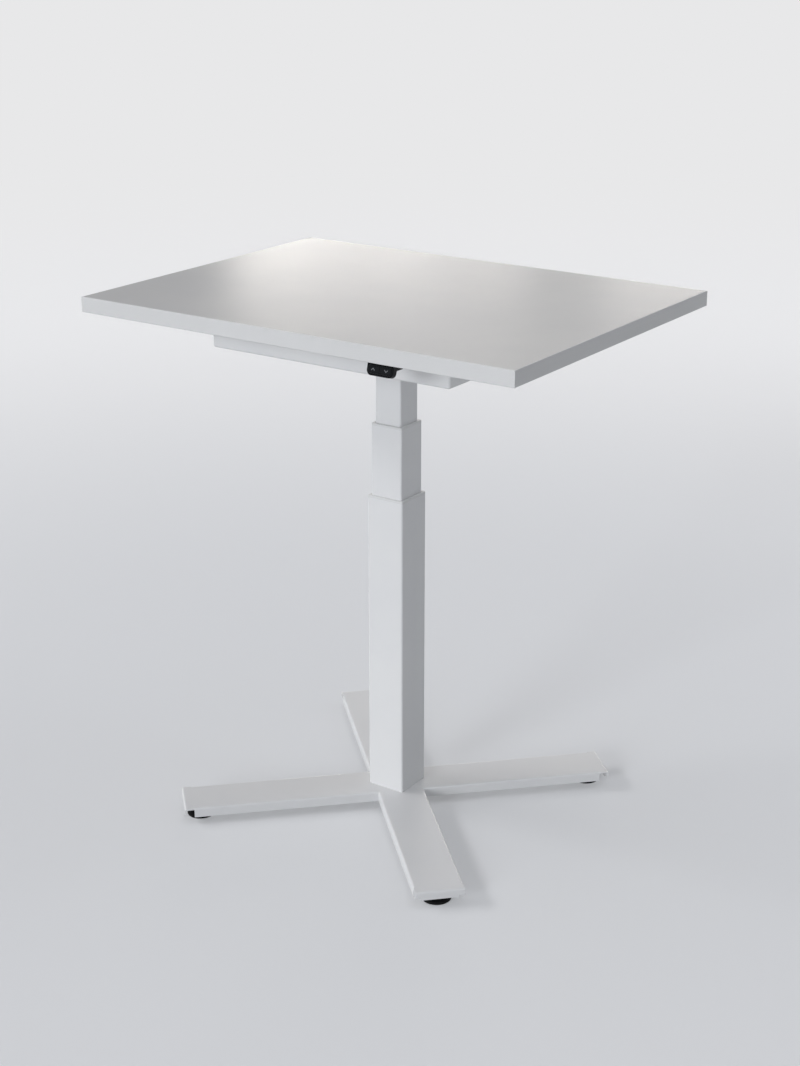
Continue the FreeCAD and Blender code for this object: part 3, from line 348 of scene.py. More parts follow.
@dataclass(frozen=True)
class Finish:
    """One surface finish: its colour, gloss, relief and the traces of use on it.

    Scales are in features in a metre, and the depth of the grain is in millimetres.
    """

    name: str
    light: Rgb
    shade: Rgb
    roughness: float
    metallic: float = 0.0
    spread: float = 0.12
    smudge_scale: float = 9.0
    tone_scale: float = 6.0
    grain_scale: float = 900.0
    grain_depth: float = 0.02
    stretch: Point = (1.0, 1.0, 1.0)
    wear: float = 0.0
    wear_colour: Rgb = (0.8, 0.8, 0.8)
    wear_radius: float = 0.4 * MM
    dust: float = 0.0
    dust_scale: float = 14.0
    dust_colour: Rgb = (0.55, 0.54, 0.52)
    specular: float = 0.5
    slotted: bool = True

    @property
    def slot(self) -> str | None:
        """The record's material slot, where the finish has one."""
        return self.name if self.slotted else None

    def material(self, effects: Effects) -> bpy.types.Material:
        """Make the material.

        Args:
            effects: The shared node groups.

        Returns:
            A node material named for the finish.
        """
        made = bpy.data.materials.new("finish_" + self.name)
        graph = Graph.fresh(made)
        gloss = graph.group(
            effects.smudge, Roughness=self.roughness, Spread=self.spread, Scale=self.smudge_scale
        )
        grain = graph.group(effects.grain, Scale=self.grain_scale, Stretch=self.stretch)
        relief = graph.node(
            "ShaderNodeBump",
            {"Strength": 1.0, "Distance": self.grain_depth * MM, "Height": grain.outputs["Height"]},
        )
        shader = graph.node(
            "ShaderNodeBsdfPrincipled",
            {
                "Base Color": self._colour(graph, effects),
                "Roughness": gloss.outputs["Roughness"],
                "Metallic": self.metallic,
                "Specular IOR Level": self.specular,
                "Normal": relief.outputs["Normal"],
            },
        )
        graph.node("ShaderNodeOutputMaterial", {"Surface": shader.outputs[0]})
        return made

    def _colour(self, graph: Graph, effects: Effects) -> bpy.types.NodeSocket:
        """Colour with its drift of tone, worn edges and dust.

        Args:
            graph: The material's graph.
            effects: The shared node groups.

        Returns:
            The colour's output.
        """
        tone = graph.group(effects.tone, Light=self.light, Shade=self.shade, Scale=self.tone_scale)
        colour = tone.outputs["Color"]
        if self.wear:
            worn = graph.group(effects.wear, Radius=self.wear_radius, Amount=self.wear)
            colour = graph.blend(worn.outputs["Mask"], colour, self.wear_colour)
        if self.dust:
            dust = graph.group(effects.dust, Amount=self.dust, Scale=self.dust_scale)
            colour = graph.blend(dust.outputs["Mask"], colour, self.dust_colour)
        return colour


class Surface(Enum):
    """The finishes of the desk's pieces."""

    TOP_LAMINATE = Finish(
        "top_laminate", tint(215, 214, 212), tint(212, 211, 210), 0.2,
        spread=0.03, grain_scale=1400, grain_depth=0.001, dust=0.02,
    )
    # The strips' white is a little darker than the top's: painted shade on the board's edges.
    EDGE_BAND = Finish(
        "edge_band", tint(211, 211, 211), tint(208, 208, 208), 0.42, grain_scale=1200, grain_depth=0.004
    )
    WHITE_STEEL = Finish(
        "white_steel", tint(219, 219, 219), tint(216, 216, 217), 0.34,
        grain_scale=1100, grain_depth=0.004, dust=0.03,
    )
    COLLAR_PLASTIC = Finish(
        "collar_plastic", tint(214, 214, 214), tint(210, 210, 210), 0.38, grain_scale=1500, grain_depth=0.005
    )
    GUIDE_PLASTIC = Finish("guide_plastic", tint(205, 203, 196), tint(196, 194, 187), 0.4)
    BARE_STEEL = Finish(
        "bare_steel", tint(176, 176, 178), tint(158, 158, 162), 0.36, metallic=1.0,
        grain_scale=400, stretch=(1.0, 1.0, 0.06), grain_depth=0.01,
        wear=0.3, wear_colour=tint(205, 205, 206),
    )
    ZINC_FASTENER = Finish(
        "zinc_fastener", tint(196, 198, 200), tint(172, 174, 172), 0.3, metallic=1.0,
        tone_scale=60, grain_scale=900, wear=0.4, wear_colour=tint(220, 220, 220),
    )
    CAST_ALLOY = Finish(
        "cast_alloy", tint(168, 169, 170), tint(146, 147, 149), 0.52, metallic=0.9,
        tone_scale=25, grain_scale=520, grain_depth=0.08, wear=0.4, wear_colour=tint(205, 205, 205),
    )
    MOTOR_STEEL = Finish(
        "motor_steel", tint(44, 44, 46), tint(38, 38, 40), 0.36,
        grain_scale=500, stretch=(0.08, 1.0, 1.0), grain_depth=0.008, wear=0.3, wear_colour=tint(96, 96, 98),
    )
    BLACK_PLASTIC = Finish(
        "black_plastic", tint(34, 34, 35), tint(28, 28, 30), 0.52,
        grain_scale=1600, grain_depth=0.03, wear=0.2, wear_colour=tint(62, 62, 64),
    )
    HANDSET_PLASTIC = Finish(
        "handset_plastic", tint(17, 19, 21), tint(13, 15, 17), 0.36,
        grain_scale=1800, grain_depth=0.008, wear=0.15, wear_colour=tint(44, 45, 47), specular=0.12,
    )
    BUTTON_PLASTIC = Finish(
        "button_plastic", tint(22, 24, 26), tint(18, 20, 22), 0.42,
        grain_scale=1800, grain_depth=0.01, specular=0.14,
    )
    GLIDE_PLASTIC = Finish(
        "glide_plastic", tint(20, 20, 21), tint(14, 14, 15), 0.5,
        grain_scale=900, grain_depth=0.03, wear=0.2, wear_colour=tint(46, 46, 48), specular=0.14,
    )
    KEY_PRINT = Finish(
        "key_print", tint(122, 124, 127), tint(112, 114, 117), 0.55,
        grain_scale=2400, grain_depth=0.004, specular=0.2, slotted=False,
    )
    CONTACT_BRASS = Finish(
        "contact_brass", tint(208, 178, 112), tint(186, 152, 88), 0.28, metallic=1.0,
        tone_scale=90, slotted=False,
    )


class Solid:
    """Closed bodies gathered in one mesh, in millimetres, each turned or extruded about its own axis."""

    EASE_SEGMENTS = 2
    EASE_PROFILE = 0.5

    def __init__(self, name: str, sharp: float = 32.0) -> None:
        """Start an empty mesh.

        Args:
            name: Name of the piece.
            sharp: Angle in degrees above which an edge stays sharp.
        """
        self.name = name
        self.sharp = sharp
        self.bm = bmesh.new()

    def turned(
        self, rings: Sequence[Ring], place: Matrix = UPRIGHT, segments: int = 48, bore: float = 0.0
    ) -> None:
        """Add a body of rings stacked along its axis.

        Args:
            rings: Height and radius of each ring; a radius may change with the angle.
            place: Where the body's axis goes.
            segments: Points on a ring.
            bore: Radius of a hole right through it, or 0 for closed ends.
        """
        stack = list(rings)
        if bore:
            stack += [(rings[-1][0], bore), (rings[0][0], bore)]
        angles = [math.tau * i / segments for i in range(segments)]
        loops = []
        for height, radius in stack:
            reach = [radius(angle) if callable(radius) else radius for angle in angles]
            points = [Vector((r * math.cos(a), r * math.sin(a), height)) for r, a in zip(reach, angles)]
            loops.append([self.bm.verts.new(place @ point) for point in points])
        if bore:
            loops.append(loops[0])
        for low, high in zip(loops, loops[1:]):
            for i in range(segments):
                j = (i + 1) % segments
                self.bm.faces.new((low[i], low[j], high[j], high[i]))
        if not bore:
            self.bm.faces.new(reversed(loops[0]))
            self.bm.faces.new(loops[-1])

    def prism(self, outline: Profile, thickness: float, place: Matrix = UPRIGHT, ease: float = 0.0) -> None:
        """Add an outline extruded along its axis.

        Args:
            outline: Corners, anticlockwise.
            thickness: Height of the extrusion.
            place: Where the outline's plane goes.
            ease: Width of the rounding on all its edges.
        """
        low, high = (
            [self.bm.verts.new(place @ Vector((x, y, z))) for x, y in outline] for z in (0.0, thickness)
        )
        faces = [self.bm.faces.new(reversed(low)), self.bm.faces.new(high)]
        for i, corner in enumerate(low):
            j = (i + 1) % len(low)
            faces.append(self.bm.faces.new((corner, low[j], high[j], high[i])))
        if ease:
            edges = list({edge for face in faces for edge in face.edges})
            bmesh.ops.bevel(
                self.bm, geom=edges, offset=ease, segments=self.EASE_SEGMENTS, profile=self.EASE_PROFILE,
                affect="EDGES",
            )

    def mesh(self) -> bpy.types.Mesh:
        """Close the work and hand over the mesh.

        Returns:
            The mesh, in metres, shaded smooth but for its sharp edges.
        """
        bmesh.ops.scale(self.bm, vec=(MM, MM, MM), verts=self.bm.verts)
        bmesh.ops.recalc_face_normals(self.bm, faces=self.bm.faces)
        made = bpy.data.meshes.new(self.name)
        self.bm.to_mesh(made)
        self.bm.free()
        made.shade_smooth()
        made.set_sharp_from_angle(angle=math.radians(self.sharp))
        return made


class Shop:
    """Gives CAD nodes their finishes, and turns solids into pieces that ride on their bodies."""

    def __init__(self, effects: Effects) -> None:
        """Make every finish's material from the shared node groups."""
        self.materials = {surface: surface.value.material(effects) for surface in Surface}

    def dress(self, surface: Surface, *names: str) -> None:
        """Give CAD nodes a finish.

        Args:
            surface: The finish.
            names: The nodes.
        """
        for name in names:
            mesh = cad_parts[name].data
            mesh.materials.clear()
            mesh.materials.append(self.materials[surface])
            LOG.info("dressed %s in %s", name, surface.value.name)

    def piece(self, solid: Solid, body: str, surface: Surface, *replaced: str) -> None:
        """Make a piece.

        Args:
            solid: Its shape.
            body: The body that it rides on.
            surface: Its finish.
            replaced: CAD nodes that it stands for.
        """
        made = bpy.data.objects.new(solid.name, solid.mesh())
        made.data.materials.append(self.materials[surface])
        bpy.context.scene.collection.objects.link(made)
        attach(made, body)
        if replaced:
            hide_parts(*replaced)
        LOG.info("built %s on %s", solid.name, body)


class Way(Enum):
    """Level directions in the shared frame."""

    RIGHT = (1, 0, 0)
    LEFT = (-1, 0, 0)
    BACK = (0, 1, 0)
    FRONT = (0, -1, 0)


def moved(x: float, y: float, z: float) -> Matrix:
    """Place at a point, axis up."""
    return Matrix.Translation((x, y, z))


def along(way: Way, x: float, y: float, z: float) -> Matrix:
    """Place at a point, axis level."""
    return moved(x, y, z) @ Vector(way.value).to_track_quat("Z", "Y").to_matrix().to_4x4()


def corners(x: float, y: float) -> list[tuple[float, float]]:
    """The four points at plus and minus x and y."""
    return [(i * x, j * y) for i in (-1, 1) for j in (-1, 1)]


def oblong(width: float, height: float) -> list[tuple[float, float]]:
    """Corners of a rectangle about its middle, anticlockwise."""
    x, y = width / 2, height / 2
    return [(-x, -y), (x, -y), (x, y), (-x, y)]


def hexagonal(width: float) -> Callable[[float], float]:
    """Radius by the angle, for a hexagon of this width across its flats."""
    return lambda angle: width / 2 / math.cos(angle % (math.pi / 3) - math.pi / 6)


def within(first: Callable[[float], float], limit: float) -> Callable[[float], float]:
    """Radius by the angle, where a cone of this radius cuts a prism."""
    return lambda angle: min(first(angle), limit)


def eased(low: float, high: float, radius: float, ease: float) -> list[Ring]:
    """Rings of a cylinder, from low to high, with its ends eased by the given width."""
    return [(low, radius - ease), (low + ease, radius), (high - ease, radius), (high, radius - ease)]


@dataclass(frozen=True)
class Thread:
    """Screw thread that is eased out at both ends."""

    radius: float
    pitch: float
    low: float
    high: float
    depth: float
    steps: int = 8
    steepness: float = 1.7
    root_width: float = 0.35

    def rings(self) -> list[Ring]:
        """Rings of the thread.

        Returns:
            The rings, from low to high.
        """
        length = self.high - self.low
        count = max(2, round(length / self.pitch * self.steps))
        heights = [self.low + length * i / count for i in range(count + 1)]
        return [(height, partial(self._reach, height)) for height in heights]

    def _reach(self, height: float, angle: float) -> float:
        """Radius at a place on the thread.

        Args:
            height: Height of the place.
            angle: Angle of the place.

        Returns:
            The radius.
        """
        ease = min(1.0, (height - self.low) / self.pitch, (self.high - height) / self.pitch)
        wave = abs(2 * ((height / self.pitch - angle / math.tau) % 1.0) - 1)
        crest = min(1.0, max(0.0, self.steepness * wave - self.root_width))
        return self.radius - self.depth * (1 - crest * ease)


@dataclass(frozen=True)
class HexBolt:
    """Hexagon-head screw driven upwards, with a washer under its head."""

    radius: float
    length: float
    pitch: float
    # The head's width to the shank's diameter, its height to the shank's radius, the rest to its width.
    head_ratio: float = 1.6
    height_ratio: float = 1.1
    face_ratio: float = 0.475
    chamfer_ratio: float = 0.14
    chamfer_steps: tuple[float, ...] = (0.3, 0.65, 1.0)
    cone_slope: float = math.sqrt(3)
    bearing_ratio: float = 0.94
    bearing_height: float = 0.25
    groove_ratio: float = 0.12
    washer: float = 1.0
    washer_lip: float = 1.6
    washer_ease: float = 0.2
    washer_gap: float = 0.2
    shank_segments: int = 20

    def add(self, solid: Solid, x: float, y: float, seat: float) -> None:
        """Add the screw and its washer.

        Args:
            solid: The mesh that they join.
            x: Place of the axis, in millimetres.
            y: Place of the axis.
            seat: Height of the face that the washer lies on.
        """
        width = 2 * self.radius * self.head_ratio
        place = moved(x, y, seat - self.washer)
        solid.turned(self._head(width), place)
        washer = eased(0.0, self.washer, width / 2 + self.washer_lip, self.washer_ease)
        solid.turned(washer, place, bore=self.radius + self.washer_gap)
        top = self.washer + self.length
        thread = Thread(self.radius, self.pitch, 0.0, top, self.groove_ratio * self.radius)
        solid.turned(thread.rings(), place, segments=self.shank_segments)

    def _head(self, width: float) -> list[Ring]:
        """Rings of the head, from its chamfered face to its round bearing face.

        Args:
            width: Across its flats.

        Returns:
            The rings, from low to high.
        """
        flat = hexagonal(width)
        face = self.face_ratio * width
        low = -self.radius * self.height_ratio
        rise = self.chamfer_ratio * width / self.cone_slope
        bearing = self.bearing_ratio * width / 2
        rings = [(low, within(flat, face))]
        for step in self.chamfer_steps:
            rings.append((low + rise * step, within(flat, face + rise * step * self.cone_slope)))
        return [*rings, (-self.bearing_height, flat), (-self.bearing_height, bearing), (0.0, bearing)]


@dataclass(frozen=True)
class SocketScrew:
    """Low round-head screw with a hexagon socket."""

    radius: float
    head_radius: float
    head_height: float
    socket: float
    length: float
    tip_length: float = 0.4
    tip_ease: float = 0.3
    # Shares of the head's height, each with the inset from its rim.
    dome: Profile = ((0.5, 0.1), (0.85, 0.5))
    face_ratio: float = 0.72
    socket_ratio: float = 0.6

    def add(self, solid: Solid, place: Matrix) -> None:
        """Add the screw.

        Args:
            solid: The mesh that it joins.
            place: Seat of the head; the screw goes in along its axis.
        """
        rim = self.head_radius
        key = hexagonal(self.socket)
        dome = [(-share * self.head_height, rim - inset) for share, inset in self.dome]
        solid.turned(
            [
                (self.length, self.radius - self.tip_ease),
                (self.length - self.tip_length, self.radius),
                (0.0, self.radius),
                (0.0, rim),
                *dome,
                (-self.head_height, self.face_ratio * rim),
                (-self.head_height, key),
                (self.socket_ratio * self.head_height - self.head_height, key),
            ],
            place,
        )


@dataclass
class SubAssembly:
    """One part of the desk, with its sizes in millimetres of the shared frame."""

    shop: Shop

    def build(self) -> None:
        """Make the pieces that are finer than the solids, where there are any."""

    def dress(self) -> None:
        """Give the CAD nodes their finishes."""
        raise NotImplementedError


@dataclass
class WorkTop(SubAssembly):
    """Faced board with its edge strips."""

    panel: str = "tabletop_panel"
    strips: tuple[str, ...] = ("edge_front", "edge_back", "edge_left", "edge_right")

    def dress(self) -> None:
        """Give the board and the strips their finishes."""
        self.shop.dress(Surface.TOP_LAMINATE, self.panel)
        self.shop.dress(Surface.EDGE_BAND, *self.strips)


@dataclass
class SupportTray(SubAssembly):
    """Folded sheet housing under the top, with the screws at its corners."""

    body: str = "top_stage"
    screw_x: float = 197.0
    screw_y: float = 162.0
    screw: HexBolt = HexBolt(2.5, 19.0, 0.8)
    seat: float = 872.0

    def build(self) -> None:
        """Make the corner screws."""
        screws = Solid("tray_corner_screws")
        for x, y in corners(self.screw_x, self.screw_y):
            self.screw.add(screws, x, y, self.seat)
        self.shop.piece(screws, self.body, Surface.ZINC_FASTENER, "tray_screws")

    def dress(self) -> None:
        """Give the folded sheet its coat."""
        self.shop.dress(Surface.WHITE_STEEL, "support_tray")


@dataclass
class DriveHead(SubAssembly):
    """Worm gearbox and motor on top of the inner tube, and the plate that carries the tray."""

    body: str = "top_stage"
    bolt_x: float = 36.0
    bolt_front: float = -60.0
    bolt_rear: float = 42.0
    bolt_seat: float = 861.0
    bolt: HexBolt = HexBolt(4.0, 11.0, 1.25)
    shaft_y: float = -30.0
    shaft_z: float = 843.0
    worm_end: float = -44.0
    worm_cap_radius: float = 14.0
    # Heights on the cap, each with the inset from its radius.
    worm_cap: Profile = ((-1.0, 0.0), (1.4, 0.0), (2.0, 0.6), (2.0, 3.0), (3.2, 4.0))
    worm_key: float = 10.0
    worm_key_heights: Span = (3.4, 1.2)
    can_radius: float = 18.0
    band_start: float = 62.0
    band_end: float = 112.0
    band_proud: float = 1.2
    band_sunk: float = 0.4
    band_ease: float = 0.3
    cap_face: float = 148.0
    cap_radius: float = 14.5
    terminal: Point = (0.8, 4.8, 8.0)
    terminal_offset: float = 7.0
    terminal_sunk: float = 1.0
    terminal_ease: float = 0.15
    brush_back: float = 7.0
    brush_sunk: float = 1.5
    # Heights on the cap, each with its radius.
    brush_cap: Profile = ((0.0, 3.2), (2.6, 3.2), (3.0, 2.8))
    brush_key: float = 3.0
    brush_key_heights: Span = (3.0, 1.8)

    def build(self) -> None:
        """Make the bolts and the fittings of the gearbox and the motor."""
        bolts = Solid("gearbox_flange_bolts")
        for i in (-1, 1):
            for y in (self.bolt_front, self.bolt_rear):
                self.bolt.add(bolts, i * self.bolt_x, y, self.bolt_seat)
        self.shop.piece(bolts, self.body, Surface.ZINC_FASTENER, "gearbox_bolts")
        self._worm_cap()
        self._flux_band()
        self._terminals()
        self._brush_caps()

    def _worm_cap(self) -> None:
        """Screwed cap over the free end of the worm shaft."""
        cap = Solid("worm_end_cap")
        rings = [(height, self.worm_cap_radius - inset) for height, inset in self.worm_cap]
        rings += [(height, hexagonal(self.worm_key)) for height in self.worm_key_heights]
        cap.turned(rings, along(Way.LEFT, self.worm_end, self.shaft_y, self.shaft_z))
        self.shop.piece(cap, self.body, Surface.BARE_STEEL)

    def _flux_band(self) -> None:
        """Steel band round the motor's can."""
        band = Solid("motor_flux_band")
        rings = eased(0.0, self.band_end - self.band_start, self.can_radius + self.band_proud, self.band_ease)
        place = along(Way.RIGHT, self.band_start, self.shaft_y, self.shaft_z)
        band.turned(rings, place, segments=64, bore=self.can_radius - self.band_sunk)
        self.shop.piece(band, self.body, Surface.MOTOR_STEEL)

    def _terminals(self) -> None:
        """Two blades on the motor's end."""
        terminals = Solid("motor_terminals")
        width, height, length = self.terminal
        for i in (-1, 1):
            y = self.shaft_y + i * self.terminal_offset
            place = along(Way.RIGHT, self.cap_face - self.terminal_sunk, y, self.shaft_z)
            terminals.prism(oblong(width, height), length, place, ease=self.terminal_ease)
        self.shop.piece(terminals, self.body, Surface.CONTACT_BRASS)

    def _brush_caps(self) -> None:
        """Two caps over the motor's brushes."""
        caps = Solid("motor_brush_caps")
        rings = [*self.brush_cap, *((height, hexagonal(self.brush_key)) for height in self.brush_key_heights)]
        for way, i in ((Way.BACK, 1), (Way.FRONT, -1)):
            y = self.shaft_y + i * (self.cap_radius - self.brush_sunk)
            caps.turned(rings, along(way, self.cap_face - self.brush_back, y, self.shaft_z), segments=36)
        self.shop.piece(caps, self.body, Surface.BLACK_PLASTIC)

    def dress(self) -> None:
        """Give the head's nodes their finishes."""
        self.shop.dress(Surface.CAST_ALLOY, "gearbox_housing")
        self.shop.dress(Surface.BARE_STEEL, "head_plate")
        self.shop.dress(Surface.MOTOR_STEEL, "drive_motor")
        self.shop.dress(Surface.BLACK_PLASTIC, "motor_end_cap")


@dataclass
class ControlBox(SubAssembly):
    """Moulded electronics housing with its lid, mains inlet and lead sockets."""

    body: str = "top_stage"
    ear_x: float = 122.0
    centre_y: float = 110.0
    ear_seat: float = 869.0
    ear_screw: HexBolt = HexBolt(2.0, 6.0, 0.7)
    lid_face: float = 839.0
    lid_screw_x: float = 104.0
    lid_screw_y: float = 32.0
    lid_screw: SocketScrew = SocketScrew(1.5, 3.0, 1.4, 2.0, 6.0)
    inlet_x: float = -78.0
    inlet_z: float = 858.0
    blade_spacing: float = 7.0
    blade: Point = (2.2, 4.2, 11.2)
    blade_ease: float = 0.3
    blade_start: float = 141.9
    socket_x: float = 52.0
    socket_z: float = 858.0
    socket_pitch: float = 15.875
    socket_count: int = 4
    pin_start: float = 144.5
    pin_length: float = 7.0
    pin_radius: float = 0.7
    pin_spacing: float = 4.2
    pin_tip: float = 0.5
    pin_tip_ratio: float = 0.5

    def build(self) -> None:
        """Make the screws and the contacts."""
        ears = Solid("box_ear_screws")
        for i in (-1, 1):
            self.ear_screw.add(ears, i * self.ear_x, self.centre_y, self.ear_seat)
        self.shop.piece(ears, self.body, Surface.ZINC_FASTENER, "control_box_screws")
        lid = Solid("box_lid_screws")
        for x, y in corners(self.lid_screw_x, self.lid_screw_y):
            self.lid_screw.add(lid, moved(x, self.centre_y + y, self.lid_face))
        self.shop.piece(lid, self.body, Surface.ZINC_FASTENER)
        self._blades()
        self._pins()

    def _blades(self) -> None:
        """Blades of the mains inlet."""
        blades = Solid("inlet_blades")
        width, height, length = self.blade
        for i in (-1, 0, 1):
            place = along(Way.BACK, self.inlet_x + i * self.blade_spacing, self.blade_start, self.inlet_z)
            blades.prism(oblong(width, height), length, place, ease=self.blade_ease)
        self.shop.piece(blades, self.body, Surface.CONTACT_BRASS)

    def _pins(self) -> None:
        """Pins of the lead sockets."""
        pins = Solid("socket_pins")
        rings = [
            (0.0, self.pin_radius),
            (self.pin_length - self.pin_tip, self.pin_radius),
            (self.pin_length, self.pin_tip_ratio * self.pin_radius),
        ]
        for k in range(self.socket_count):
            middle = self.socket_x + (k - (self.socket_count - 1) / 2) * self.socket_pitch
            for x, z in corners(self.pin_spacing / 2, self.pin_spacing / 2):
                place = along(Way.BACK, middle + x, self.pin_start, self.socket_z + z)
                pins.turned(rings, place, segments=16)
        self.shop.piece(pins, self.body, Surface.CONTACT_BRASS)

    def dress(self) -> None:
        """Give the mouldings their finish."""
        self.shop.dress(Surface.BLACK_PLASTIC, "control_box", "control_box_lid")
        self.shop.dress(Surface.BLACK_PLASTIC, "power_inlet", "lead_sockets")


@dataclass
class LiftColumn(SubAssembly):
    """Three telescopic tubes with their guides and the bolts through the base."""

    body: str = "base"
    bolt_spacing: float = 40.0
    bolt_seat: float = 22.0
    bolt: HexBolt = HexBolt(4.0, 13.0, 1.25)

    def build(self) -> None:
        """Make the bolts through the hub."""
        bolts = Solid("column_base_bolts")
        for x, y in corners(self.bolt_spacing / 2, self.bolt_spacing / 2):
            self.bolt.add(bolts, x, y, self.bolt_seat)
        self.shop.piece(bolts, self.body, Surface.ZINC_FASTENER, "column_bolts")

    def dress(self) -> None:
        """Give the tubes and the guides their finishes."""
        self.shop.dress(Surface.WHITE_STEEL, "outer_tube", "middle_tube", "inner_tube")
        self.shop.dress(Surface.COLLAR_PLASTIC, "outer_collar", "middle_collar")
        self.shop.dress(Surface.GUIDE_PLASTIC, "middle_guide_shoe", "inner_guide_shoe")
        self.shop.dress(Surface.BARE_STEEL, "column_foot_plate", "middle_end_plug")


@dataclass
class ScrewDrive(SubAssembly):
    """Nested lifting screws inside the column."""

    drive_radius: float = 5.0
    drive_pitch: float = 5.0
    drive_groove: float = 0.7
    drive_low: float = 460.0
    drive_high: float = 840.0
    drive_core: float = 4.6
    drive_tip: float = 0.8
    collar_low: float = 795.0
    collar_high: float = 800.0
    collar_radius: float = 8.0
    hollow_radius: float = 9.0
    hollow_bore: float = 5.5
    hollow_pitch: float = 6.0
    hollow_groove: float = 0.9
    hollow_low: float = 158.0
    flange_low: float = 651.0
    flange_high: float = 655.0
    flange_radius: float = 15.0
    ease: float = 0.4

    def build(self) -> None:
        """Make the two threaded spindles."""
        self._drive_spindle()
        self._hollow_spindle()

    def _drive_spindle(self) -> None:
        """Inner spindle, with the collar under its bearing."""
        drive = Solid("drive_spindle_thread")
        thread = Thread(
            self.drive_radius, self.drive_pitch, self.drive_low, self.collar_low, self.drive_groove
        )
        neck = [
            (self.collar_high, self.drive_core),
            (self.drive_high - self.drive_tip, self.drive_core),
            (self.drive_high, self.drive_core - self.drive_tip),
        ]
        collar = eased(self.collar_low, self.collar_high, self.collar_radius, self.ease)
        drive.turned([*thread.rings(), *collar, *neck], segments=32)
        self.shop.piece(drive, "drive_screw", Surface.BARE_STEEL, "drive_spindle")

    def _hollow_spindle(self) -> None:
        """Outer spindle, with the flange on its upper end."""
        hollow = Solid("hollow_spindle_thread")
        thread = Thread(
            self.hollow_radius, self.hollow_pitch, self.hollow_low, self.flange_low, self.hollow_groove
        )
        flange = [
            (self.flange_low, self.flange_radius - self.ease),
            (self.flange_low + self.ease, self.flange_radius),
            (self.flange_high, self.flange_radius),
        ]
        hollow.turned([*thread.rings(), *flange], segments=40, bore=self.hollow_bore)
        self.shop.piece(hollow, "hollow_screw", Surface.BARE_STEEL, "hollow_spindle")

    def dress(self) -> None:
        """Give the nuts, the carriers and the bearings their finishes."""
        self.shop.dress(Surface.GUIDE_PLASTIC, "lower_spindle_nut", "upper_spindle_nut")
        self.shop.dress(Surface.BARE_STEEL, "base_carrier_tube", "middle_carrier_tube")
        self.shop.dress(Surface.BARE_STEEL, "carrier_bearing", "drive_bearing")


class Leg(Enum):
    """The four legs and the direction of each, in degrees from +X."""

    REAR_RIGHT = 45.0
    REAR_LEFT = 135.0
    FRONT_LEFT = 225.0
    FRONT_RIGHT = 315.0

    @property
    def label(self) -> str:
        """The leg's name in the frame."""
        return self.name.lower()

    def out(self, reach: float, side: float = 0.0) -> tuple[float, float]:
        """Point along the leg.

        Args:
            reach: From the column axis, in millimetres.
            side: To the left of the leg's direction.

        Returns:
            The point's x and y.
        """
        turn = math.radians(self.value)
        return (
            reach * math.cos(turn) - side * math.sin(turn),
            reach * math.sin(turn) + side * math.cos(turn),
        )


@dataclass
class CrossBase(SubAssembly):
    """Folded legs, the hub under them, its welds and the weld nuts of the glides."""

    body: str = "base"
    glide_reach: float = 345.0
    nut_width: float = 15.0
    nut_low: float = 14.0
    nut_high: float = 27.0
    nut_bore: float = 4.3
    nut_face_ratio: float = 0.97
    # Heights on the nut, each with how far the chamfer has widened.
    nut_chamfer: Profile = ((0.0, 0.0), (0.4, 0.7))
    nut_chamfer_top: float = 0.8
    hub_reach: float = 88.0
    weld_half: float = 33.0
    weld_height: float = 26.0
    weld_radius: float = 2.2
    weld_ripple: float = 0.35
    weld_pitch: float = 3.0
    weld_steps: int = 6
    weld_end: float = 0.35

    def build(self) -> None:
        """Make the weld nuts and the weld beads."""
        self._nuts()
        self._welds()

    def _nuts(self) -> None:
        """Weld nut of each glide."""
        nuts = Solid("glide_weld_nuts")
        flat = hexagonal(self.nut_width)
        face = self.nut_face_ratio * self.nut_width / 2
        rings = [(height, within(flat, face + out)) for height, out in self.nut_chamfer]
        rings += [(self.nut_chamfer_top, flat), (self.nut_high - self.nut_low, flat)]
        for leg in Leg:
            turn = Matrix.Rotation(math.radians(leg.value), 4, "Z")
            place = moved(*leg.out(self.glide_reach), self.nut_low) @ turn
            nuts.turned(rings, place, bore=self.nut_bore)
        self.shop.piece(nuts, self.body, Surface.ZINC_FASTENER, "glide_sockets")

    def _welds(self) -> None:
        """Weld bead between each leg and the hub."""
        welds = Solid("hub_weld_beads", sharp=60.0)
        for leg in Leg:
            start = Vector((*leg.out(self.hub_reach, -self.weld_half), self.weld_height))
            end = Vector((*leg.out(self.hub_reach, self.weld_half), self.weld_height))
            turn = (end - start).to_track_quat("Z", "Y").to_matrix().to_4x4()
            welds.turned(self._bead(), Matrix.Translation(start) @ turn, segments=16)
        self.shop.piece(welds, self.body, Surface.WHITE_STEEL)

    def _bead(self) -> list[Ring]:
        """Rings of a rippled bead, thinner at both ends.

        Returns:
            The rings, from one end to the other.
        """
        length = 2 * self.weld_half
        count = round(length / self.weld_pitch * self.weld_steps)
        rings = []
        for i in range(count + 1):
            height = length * i / count
            lump = abs(math.sin(math.pi * height / self.weld_pitch))
            ease = min(1.0, self.weld_end + (1 - self.weld_end) * min(i, count - i) / self.weld_steps)
            rings.append((height, ease * (self.weld_radius + self.weld_ripple * lump)))
        return rings

    def dress(self) -> None:
        """Give the legs and the hub their coat."""
        self.shop.dress(Surface.WHITE_STEEL, "hub_plate", *("leg_" + leg.label for leg in Leg))


